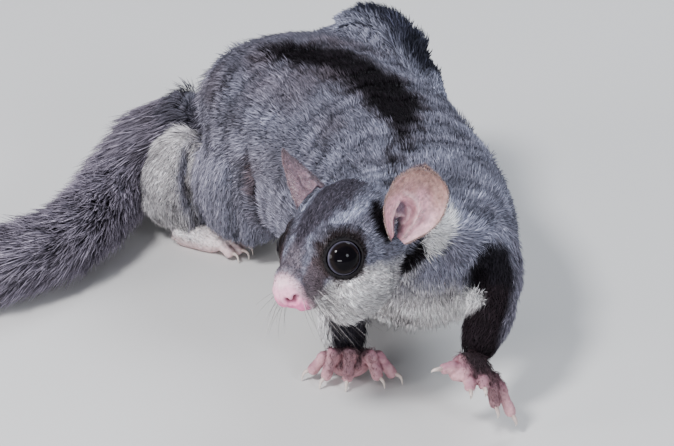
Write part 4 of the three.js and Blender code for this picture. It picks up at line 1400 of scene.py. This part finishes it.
face = head_low[:, 0] > -3
FACE_LOOKS = dict(ripple_shade=0.06, salt=0.34, curl=0.14)
CROWN_LOOKS = dict(ripple_shade=0.1, salt=0.3, curl=0.14)
grow_coat("coat_face", "grey_fur", head, face & ~bare, 1.0, 0.36, **FACE_LOOKS)
grow_coat("coat_crown", "grey_fur", head, ~face & ~bare, 0.8, 0.42, **CROWN_LOOKS)
TRUNK_LENGTHS = [("neck", 0, 1), ("shoulders", 1, 2), ("back", 2, 3.5), ("loin", 3.5, 5), ("rump", 5, 8)]
for part, low, high in TRUNK_LENGTHS:
    grow_coat(f"coat_{part}", "grey_fur", body, trunk & along_body(low, high), CLOSE, 0.5)
grow_coat("coat_arms", "dark_fur", body, arms, CLOSE, 0.5, ripple_shade=0.1)
grow_coat("coat_legs", "grey_fur", body, legs, CLOSE, 0.46)
grow_coat("coat_membranes", "grey_fur", body, fold, CLOSE, 0.5)


# Short fur runs down on to the backs of the paws.

for paw_name, (made, _) in PAWS.items():
    slot = "dark_fur" if "hand" in paw_name else "pale_fur"
    made["unwrap"] = body["unwrap"]
    grow_coat(f"coat_{paw_name}", slot, made, made["fields"][:, 3] > 0.5, 1.0, 0.42, ripple_shade=0.0)


# White tufts stand out behind the ears and in the bend of the left arm.


def white_tuft(name, path, spread, lie, reach, count, rise=0.85):
    tree = tree_of(body["points"], body["triangles"])
    count = int(count * TUFT_TOTAL)
    centre = curve_at(path, RNG.random(count)) + RNG.normal(0, spread, (count, 3))
    found = [tree.find_nearest(Vector(c)) for c in centre]
    roots = np.array([list(f[0]) for f in found])
    outward = np.array([list(f[1]) for f in found])
    lie = np.array(lie) + RNG.normal(0, 0.22, (count, 3))
    dark = RNG.random(count)[:, None] > 0.95
    coat_piece(
        name, "pale_fur", [], roots, outward, lie, RNG.uniform(reach * 0.5, reach, count),
        np.full(count, 0.17), rise, np.where(dark, BLACK * 3, WHITE), body["unwrap"], rings=2, bend=0.4,
    )


BEHIND_EAR = np.array([(-23.4, 10.4, -6.6), (-25.5, 11.4, -4.6), (-25.6, 11, -1), (-24.4, 10, 2)])
EAR_LIE = np.array([[-0.35, 0.45, -0.3], [-0.35, -0.45, 0.3]]) @ HEAD_TURN.T
white_tuft("tuft_left", from_head(BEHIND_EAR), 1.0, EAR_LIE[0], 5.0, 1500)
white_tuft("tuft_right", from_head(BEHIND_EAR[:3] * [0.9, -1, 1]), 1.0, EAR_LIE[1], 4.5, 1200)
white_tuft("tuft_arm", ARM_WHITE, 0.9, (-0.25, -0.5, 0.6), 3.4, 1700, rise=0.7)


# The fringe of the left membrane stands up and back in long, soft tufts


def membrane_fringe():
    count = int(5200 * TUFT_TOTAL)
    t = RNG.uniform(0.5, 0.9, count)
    table = np.array(MEMBRANE_LEFT, float)
    centre, size = curve_at(table[:, :3], t), curve_at(table[:, 3:], t)
    along, side, top = axes_along(table[:, :3], t)
    lean = np.radians(RNG.uniform(-35, 75, count))[:, None]
    outward = top * np.cos(lean) + side * np.sin(lean)
    edge = np.hypot(size[:, 1:2] * np.cos(lean), size[:, :1] * np.sin(lean))
    roots = centre + outward * (edge - 1.7)
    ruffle = noise(np.column_stack([t * 24, lean[:, 0] * 1.6, t * 0]), 1.0, 81)
    ends = smooth(0.48, 0.64, t) * smooth(0.92, 0.8, t)
    high = smooth(0.5, 0.66, t) * smooth(0.9, 0.78, t)
    length = (4.0 + 2.2 * ruffle + 2.2 * high) * RNG.uniform(0.7, 1.1, count) * (0.4 + 0.6 * ends)
    dark = SLATE * (0.32 + 0.45 * smooth(-0.1, 1.0, ruffle))[:, None] * [0.9, 1.0, 1.18]
    inner = smooth(-0.75, -0.15, lean[:, 0] + 0.25 * ruffle)
    colour = mix(SILVER * 0.75, dark, (smooth(0.1, 0.8, ends) * inner)[:, None])
    curl = 0.5 * np.roll(ruffle, 1)[:, None] * side
    return coat_piece(
        "coat_fringe", "dark_fur", [], roots, outward, along * 0.7 + side * 0.25 + curl,
        length, np.full(count, 0.42), 1.02, colour, body["unwrap"], rings=3, bend=0.3, salt=0.3,
    )


membrane_fringe()


# The tail's long, loose coat, from the core out to its full radius


TAIL_TUFTS = 25000


def tail_coat(name, low, high, nodes):
    path = catmull(TAIL, 400)
    along_table = np.concatenate([[0], np.cumsum(np.linalg.norm(np.diff(path, axis=0), axis=1))])
    whole = along_table[-1]
    count = int(TAIL_TUFTS * (high - low) * TUFT_TOTAL)
    distance = RNG.uniform(low, high, count) * (whole - 7)
    share = np.interp(distance, along_table, np.linspace(0, 1, 400))
    centre = curve_at(TAIL, share)
    along, side, top = axes_along(TAIL, share, 2e-3)
    angle = RNG.uniform(0, 2 * np.pi, count)[:, None]
    outward = side * np.cos(angle) + top * np.sin(angle)
    size = np.interp(share * 12, np.arange(13), TAIL_SIZE)
    inner = size * mix(0.8, 0.38, smooth(0, 34, distance))
    roots = centre + outward * inner[:, None]
    clump = noise(np.column_stack([distance / 2.6, angle[:, 0] * 5, angle[:, 0] * 0]), 1.6, 91)
    length = np.minimum(15 + 4 * clump, whole + 7 - distance) * RNG.uniform(0.7, 1.1, count)
    gap = np.maximum(size - inner - 0.6, 1.0)
    rise = np.clip(gap / np.maximum(length, 4), 0.08, 0.62)
    light = (0.45 + 0.5 * clump + RNG.normal(0, 0.16, count)).clip(0, 1)
    colour = mix(SLATE * 1.7, GREY * 1.95, light[:, None]) * [1.06, 1.0, 0.98]
    return coat_piece(
        name, "tail_fur", nodes, roots, outward, along, length,
        np.full(count, 0.42), rise, colour, body["unwrap"], rings=2, bend=0.7, salt=0.14, curl=0.24,
    )


TAIL_LENGTHS = [("base", 0.0, 0.26), ("bend", 0.26, 0.5), ("middle", 0.5, 0.76), ("tip", 0.76, 1.0)]
for part, low, high in TAIL_LENGTHS:
    tail_coat(f"coat_tail_{part}", low, high, [f"tail_{part}"])


def tail_end():
    """The last hairs, which close the tail's tip round the end of its core."""
    count = int(2000 * TUFT_TOTAL)
    end, before = np.array(TAIL[-1], float), np.array(TAIL[-2], float)
    along, side, top = axes_of(unit(end - before))
    angle = RNG.uniform(0, 2 * np.pi, count)[:, None]
    outward = unit(side * np.cos(angle) + top * np.sin(angle) + along * 0.4)
    roots = end - along * RNG.uniform(0, 6, count)[:, None]
    roots = roots + outward * (RNG.random(count) ** 0.5 * 3.0)[:, None]
    colour = mix(SLATE * 1.2, GREY * 1.6, RNG.random(count)[:, None])
    coat_piece(
        "coat_tail_end", "tail_fur", [], roots, outward, along, RNG.uniform(5, 9, count),
        np.full(count, 0.36), 0.42, colour, body["unwrap"], rings=2, bend=0.5,
    )


tail_end()


# Ears: a thin, cupped leaf with folds, a rolled rim and a downy edge

EAR_THICKNESS = 0.75
EAR_SUNK = 1.5
EAR_SKIN = painted_material(
    "ear_skin", 0.5, 0.35, 900, 0.7, 1.22, 8, (0.6, 0.0004), (0.16, (0.0022, 0.0008, 0.0005))
)

# Ridges inside the ear, over its width and height in millimetres, with their height and width
EAR_FOLDS = [
    ([(2.6, 1.2, 0), (3.6, 4.4, 0), (2.9, 8.2, 0)], 2.0, 0.7),
    ([(-4.4, 1.5, 0), (-3.8, 5, 0), (-2.8, 8.6, 0)], 1.4, 0.75),
    ([(-2.6, 5.4, 0), (-0.8, 4.2, 0), (0.6, 5.0, 0)], 1.7, 0.5),
    ([(1.2, 2.0, 0), (1.9, 4.6, 0), (1.2, 7.0, 0)], 1.3, 0.45),
    ([(2.8, 9.2, 0), (1.0, 11.2, 0), (-1.8, 11.8, 0)], 1.0, 0.9),
    ([(-0.6, 2.6, 0), (-0.8, 6.8, 0)], -1.8, 2.3),
    ([(0.4, 0.2, 0), (1.0, 2.4, 0)], -1.8, 1.0),
    ([(5.4, 6.5, 0), (5.2, 11, 0), (3.2, 14.5, 0)], -0.6, 0.8),
]


def ear_plan(v, h):
    """Places over the ear's width and height in millimetres, as the folds' lines have them."""
    return np.column_stack([v * 8, h * 20, v * 0])


def ear_points(side, v, h, offset):
    """Places on the ear: v goes across from -1 to 1, h up from 0 to 1, offset through it."""
    root, rise, face, across = ear_frame(side)
    table = EARS[side]
    if table["point"]:
        half = table["half"] * np.maximum(0.02, 1 - h) ** 0.8
        cup = table["cup"] * (1 - v * v) * (1 - 0.8 * h)
    else:
        outline = 0.22 + 0.78 * np.sin(np.pi / 2 * np.minimum(1, h / 0.56)) ** 0.9
        round_top = np.sqrt(np.maximum(0, 1 - np.maximum(0, (h - 0.5) / 0.5) ** 3.6))
        half = table["half"] * outline * np.maximum(round_top, 0.02)
        cup = table["cup"] * (1 - v * v) * (1 - 0.6 * h) + 1.6 * h * h
        cup = cup * mix(0.45, 1, smooth(0, 0.25, h))
    roll = 0.7 * smooth(0.86, 1.0, np.abs(v)) * smooth(0.05, 0.4, h) * smooth(1, 0.9, h)
    flat = ear_plan(v, h)
    folds = 0
    for line, height, width in EAR_FOLDS:
        folds = folds + height * np.exp(-((polyline_distance(flat, line)[0] / width) ** 2))
    folds = folds * (1 - np.abs(v) ** 6) * (0.45 if table["point"] else 1)
    veins = 0.12 * noise(np.column_stack([v * 6, h * 9, v * 0]), 1.0, 95)
    return (
        root
        + rise * (h * table["height"] - EAR_SUNK)[:, None]
        + across * (v * half + table["lean"] * h)[:, None]
        + face * (offset - cup + roll + folds + veins)[:, None]
    )


def ear(side, name):
    nv, nh = 41, 50
    v, s = np.meshgrid(np.linspace(-1, 1, nv), np.linspace(0, 1, nh))
    v, h = v.ravel(), np.sin(np.pi / 2 * s.ravel())
    thin = EAR_THICKNESS * (0.42 + 0.58 * (1 - np.abs(v) ** 3)) * (1 - 0.35 * h)
    front = ear_points(side, v, h, thin / 2)
    back = ear_points(side, v, h, -thin / 2)
    n = nv * nh
    faces = grid_faces(nh, nv, around=False) + grid_faces(nh, nv, around=False, flip=True, start=n)
    grid = np.arange(n).reshape(nh, nv)
    border = [int(i) for i in np.concatenate([grid[0], grid[1:, -1], grid[-1, -2::-1], grid[-2:0:-1, 0]])]
    faces += [(b, a, a + n, b + n) for a, b in zip(border, border[1:] + border[:1])]
    points = from_head(np.vstack([front, back]))
    mesh = new_mesh(name, points, faces)
    work = bmesh.new()
    work.from_mesh(mesh)
    bmesh.ops.recalc_face_normals(work, faces=work.faces)
    work.to_mesh(mesh)
    work.free()
    flat = ear_plan(v, h)
    stipple = 1 + 0.3 * noise(np.column_stack([v * 26, h * 40, v * 0]), 1, 98)
    hollow = 1 - smooth(1.0, 3.2, polyline_distance(flat, [(0.2, 1, 0), (-0.9, 6.4, 0)])[0])
    blotched = 0.16 * noise(np.column_stack([v * 4, h * 5, v * 0]), 1, 97)
    inner = np.repeat([[0.58, 0.30, 0.35]], n, axis=0)
    inner = mix(inner, np.array([0.62, 0.40, 0.44]), smooth(0.1, 0.9, v)[:, None] * 0.6)
    tanned = smooth(0.5, 0.92, h + 0.14 * np.abs(v) + blotched)
    inner = mix(inner, np.array([0.32, 0.185, 0.155]), (tanned * 0.9)[:, None])
    # Painted shade: the ear's deep hollow is painted dark mauve.
    inner = mix(inner, np.array([0.125, 0.085, 0.12]), hollow[:, None] * 0.94)
    # Painted highlight: the raised folds inside the ear are painted paler pink.
    for line, height, width in EAR_FOLDS[:5]:
        near = np.exp(-((polyline_distance(flat, line)[0] / (width * 0.8)) ** 2))
        inner = mix(inner, np.array([0.72, 0.47, 0.49]), near[:, None] * 0.7)
    # Painted shade: the opening of the ear canal is painted near black.
    canal = np.exp(-((polyline_distance(flat, EAR_FOLDS[6][0])[0] / 1.0) ** 2))
    inner = mix(inner, np.array([0.03, 0.015, 0.02]), canal[:, None] * 0.92) * stipple[:, None]
    rim = smooth(0.9, 1.0, np.maximum(np.abs(v), h))[:, None]
    inner = mix(inner, np.array([0.30, 0.20, 0.20] if EARS[side]["point"] else [0.36, 0.24, 0.22]), rim)
    outer = np.repeat(np.array([[0.20, 0.13, 0.16]]), n, axis=0)
    colour_layer(mesh, np.vstack([inner, outer]) * (1 + 0.1 * noise(points, 1.4, 96))[:, None])
    piece = new_object(name, mesh, EAR_SKIN)
    modifier = piece.modifiers.new("smoother", "SUBSURF")
    modifier.levels = modifier.render_levels = 1
    return finished(piece, "ear_skin", name.replace("pinna", "ear"))


def ear_down(side, name):
    """Short down on the rim, the back and the inside of an ear."""
    count = int(6500 * TUFT_TOTAL)
    root, rise, face, across = ear_frame(side)
    grid = np.linspace(0, 1, 200)
    edge = ear_points(side, np.ones(200), grid, np.zeros(200))
    steps = np.concatenate([[0], np.cumsum(np.linalg.norm(np.diff(edge, axis=0), axis=1))])
    h = np.interp(RNG.random(count) * steps[-1], steps, grid)
    kind = RNG.random(count)
    on_rim, back = kind < 0.3, (kind >= 0.3) & (kind < 0.68)
    v = np.where(on_rim, np.sign(RNG.random(count) - 0.5) * RNG.uniform(0.985, 1, count),
                 RNG.uniform(-0.97, 0.97, count))
    roots = from_head(ear_points(side, v, h, np.where(back, -0.3, 0.2) * ~on_rim))
    away = unit(across * v[:, None] * (1 - h[:, None]) + rise * (0.2 + h[:, None]))
    outward = np.where(on_rim[:, None], away + face * RNG.normal(0, 0.5, (count, 1)), face)
    outward = np.where(back[:, None], -face, outward)
    length = np.where(on_rim, RNG.uniform(0.4, 0.9, count), RNG.uniform(0.5, 1.1, count))
    tan, white, mauve = np.array([[0.40, 0.27, 0.24], [0.74, 0.62, 0.62], [0.17, 0.13, 0.15]])
    tan = tan * [0.7, 0.72, 0.9] if EARS[side]["point"] else tan
    colour = np.where(on_rim[:, None], tan, mix(white, tan, smooth(0.3, 0.8, h)[:, None]))
    colour = np.where(back[:, None], mauve, colour)
    return coat_piece(
        name, "ear_skin", [], roots, unit(outward) @ HEAD_TURN.T, away @ HEAD_TURN.T, length,
        np.full(count, 0.07), 0.4, colour, head["unwrap"], salt=0.25,
    )


for side, word in ((1, "left"), (-1, "right")):
    ear(side, f"pinna_{word}")
    ear_down(side, f"down_{word}")


# Eyes: a globe with a raised cornea, dark iris and wide pupil

EYE_SKIN = painted_material("eye", 0.03, 0.07, 600, 0.8, 1.2)


def eye(side, word):
    flip = np.array([1, side, 1])
    look = EYE_LOOK * flip
    a = unit(np.cross(look, [0, 0, 1]))
    b = np.cross(a, look)
    rings, sides = 48, 64
    theta = np.linspace(0, np.pi, rings + 1)[1:-1]
    phi = np.linspace(0, 2 * np.pi, sides, endpoint=False)
    radius = (EYE_RADIUS - 0.12) + 0.12 * (1 - smooth(0.5, 1.0, theta))
    t, f = np.meshgrid(theta, phi, indexing="ij")
    r = np.repeat(radius[:, None], sides, axis=1)
    shell = (
        look * (np.cos(t) * r)[..., None]
        + a * (np.sin(t) * np.cos(f) * r)[..., None]
        + b * (np.sin(t) * np.sin(f) * r)[..., None]
    ).reshape(-1, 3)
    points = np.vstack([shell, look[None] * EYE_RADIUS, -look[None] * (EYE_RADIUS - 0.12)])
    faces = closed_faces(rings - 1, sides)
    angle = np.append(t.ravel(), [0, np.pi])
    mesh = new_mesh(f"globe_{word}", from_head(points + EYE_CENTRE * flip), faces)
    iris = smooth(0.55, 0.7, angle) * (1 - smooth(0.8, 0.88, angle))
    # Painted highlight: a thin pale lilac-grey ring is painted near the globe's edge.
    rim = smooth(0.84, 0.88, angle) * (1 - smooth(0.93, 0.98, angle))
    colour = np.array([0.0025, 0.002, 0.003]) + iris[:, None] * np.array([0.006, 0.004, 0.003])
    colour = mix(colour, np.array([0.15, 0.14, 0.19]), rim[:, None] * 0.6)
    colour_layer(mesh, colour)
    finished(new_object(f"globe_{word}", mesh, EYE_SKIN), "eye", f"eye_{word}")


eye(1, "left")
eye(-1, "right")


# Claws

CLAW_STEPS = 10
HORN = painted_material("claw", 0.32, 0.5, 1800, 0.85, 1.1, bump=(0.2, 0.0001))
for paw_name, (_, claws) in PAWS.items():
    parts = []
    for path in claws:
        line = catmull(path, CLAW_STEPS)
        radii = 0.54 * (1 - np.linspace(0, 1, CLAW_STEPS) ** 1.8) + 0.04
        line[:, 2] = np.maximum(line[:, 2], radii + 0.02)
        parts.append(tube(line, radii, CLAW_STEPS, up=(0.3, 0.2, 1)))
    points, faces = joined(parts)
    mesh = new_mesh(f"claws_{paw_name}", points, faces)
    share = np.tile(np.repeat(np.linspace(0, 1, CLAW_STEPS), CLAW_STEPS), len(claws))[:, None]
    colour_layer(mesh, mix(np.array([0.36, 0.24, 0.22]), np.array([0.66, 0.60, 0.54]), share))
    finished(new_object(f"claws_{paw_name}", mesh, HORN), "claw")


# Whiskers


WHISKER_STEPS = 9
WHISKER_SIDES = 5
WHISKER_RADIUS = 0.05
WHISKER_PALE, WHISKER_DARK = (0.6, 0.56, 0.55), (0.06, 0.05, 0.05)


def whiskers():
    parts, tones = [], []
    for side in (1, -1):
        for row in range(5):
            for column in range(5):
                start = np.array([13.4 - column * 1.4, 3.6 + column * 0.55, -6.2 - row * 1.0])
                start += RNG.normal(0, 0.12, 3)
                reach = 9 + 4.5 * column / 4 + RNG.normal(0, 1.5)
                away = unit(np.array([0.5 - 0.16 * column, 0.62, -0.35 - 0.16 * row]))
                away = unit(away + RNG.normal(0, 0.1, 3))
                s = np.linspace(0, 1, WHISKER_STEPS)[:, None]
                line = start + away * reach * s + np.array([-0.5, 0, -0.3]) * reach * s**2 * 0.5
                line *= [1, side, 1]
                radii = WHISKER_RADIUS * (1 - 0.85 * s[:, 0])
                parts.append(tube(from_head(line), radii, WHISKER_SIDES, up=(0.3, 0.2, 1)))
                tone = WHISKER_PALE if (row + column) % 3 == 0 else WHISKER_DARK
                tones.append(np.repeat([tone], WHISKER_STEPS * WHISKER_SIDES, axis=0))
    points, faces = joined(parts)
    mesh = new_mesh("whiskers", points, faces)
    colour_layer(mesh, np.vstack(tones))
    finished(new_object("whiskers", mesh, HORN), "claw")


whiskers()


# Floor, light and camera

PHOTO_SIZE = (674, 446)
PHOTO_MIDDLE = (0, 20, 34.7)
CAMERA_ELEVATION = 27
CAMERA_DISTANCE = 750
FOCAL_PIXELS = 3000
SENSOR = 36


def stage():
    low, high = -1.6, 1.6
    mesh = bpy.data.meshes.new("floor")
    corners = [(low, low, 0), (high, low, 0), (high, high, 0), (low, high, 0)]
    mesh.from_pydata(corners, [], [(0, 1, 2, 3)])
    made, nodes, links, shader = material("floor", roughness=0.85)
    shader.inputs["Base Color"].default_value = (0.60, 0.59, 0.575, 1)
    new_object("floor", mesh, made, False)
    world = bpy.data.worlds.new("studio")
    world.use_nodes = True
    world.node_tree.nodes["Background"].inputs["Color"].default_value = (0.80, 0.86, 1.0, 1)
    world.node_tree.nodes["Background"].inputs["Strength"].default_value = 0.34
    bpy.context.scene.world = world


def area_light(name, place, aim, size, power, colour):
    light = bpy.data.lights.new(name, "AREA")
    light.shape, light.size, light.size_y = "ELLIPSE", size[0], size[1]
    light.energy, light.color = power, colour
    lamp = bpy.data.objects.new(name, light)
    lamp.location = place
    lamp.rotation_euler = (Vector(aim) - Vector(place)).to_track_quat("-Z", "Y").to_euler()
    bpy.context.scene.collection.objects.link(lamp)


def camera():
    middle = Vector(to_row(PHOTO_MIDDLE))
    up = math.radians(CAMERA_ELEVATION)
    away = Vector((0, -math.cos(up), math.sin(up))) * (CAMERA_DISTANCE / 1000)
    lens = bpy.data.cameras.new("camera")
    lens.sensor_width = SENSOR
    lens.lens = SENSOR * FOCAL_PIXELS / PHOTO_SIZE[0]
    lens.clip_start = 0.01
    made = bpy.data.objects.new("camera", lens)
    made.location = middle + away
    made.rotation_euler = (-away).to_track_quat("-Z", "Y").to_euler()
    bpy.context.scene.collection.objects.link(made)
    bpy.context.scene.camera = made


stage()
AIM = (0, 0, 0.03)
area_light("key", (-0.34, -0.40, 0.76), AIM, (0.2, 0.2), 10.4, (0.97, 0.97, 1.0))
area_light("fill", (0.55, -0.55, 0.42), AIM, (0.2, 0.2), 2.7, (0.86, 0.92, 1.0))
area_light("back", (0.4, 0.6, 0.6), AIM, (0.4, 0.4), 5.5, (0.86, 0.92, 1.0))
area_light("left", (-0.7, -0.35, 0.26), (-0.02, 0, 0.03), (0.4, 0.3), 4.6, (0.98, 0.97, 1.0))
area_light("front", (0.02, -0.72, 0.12), AIM, (0.3, 0.07), 2.4, (0.96, 0.97, 1.0))
camera()
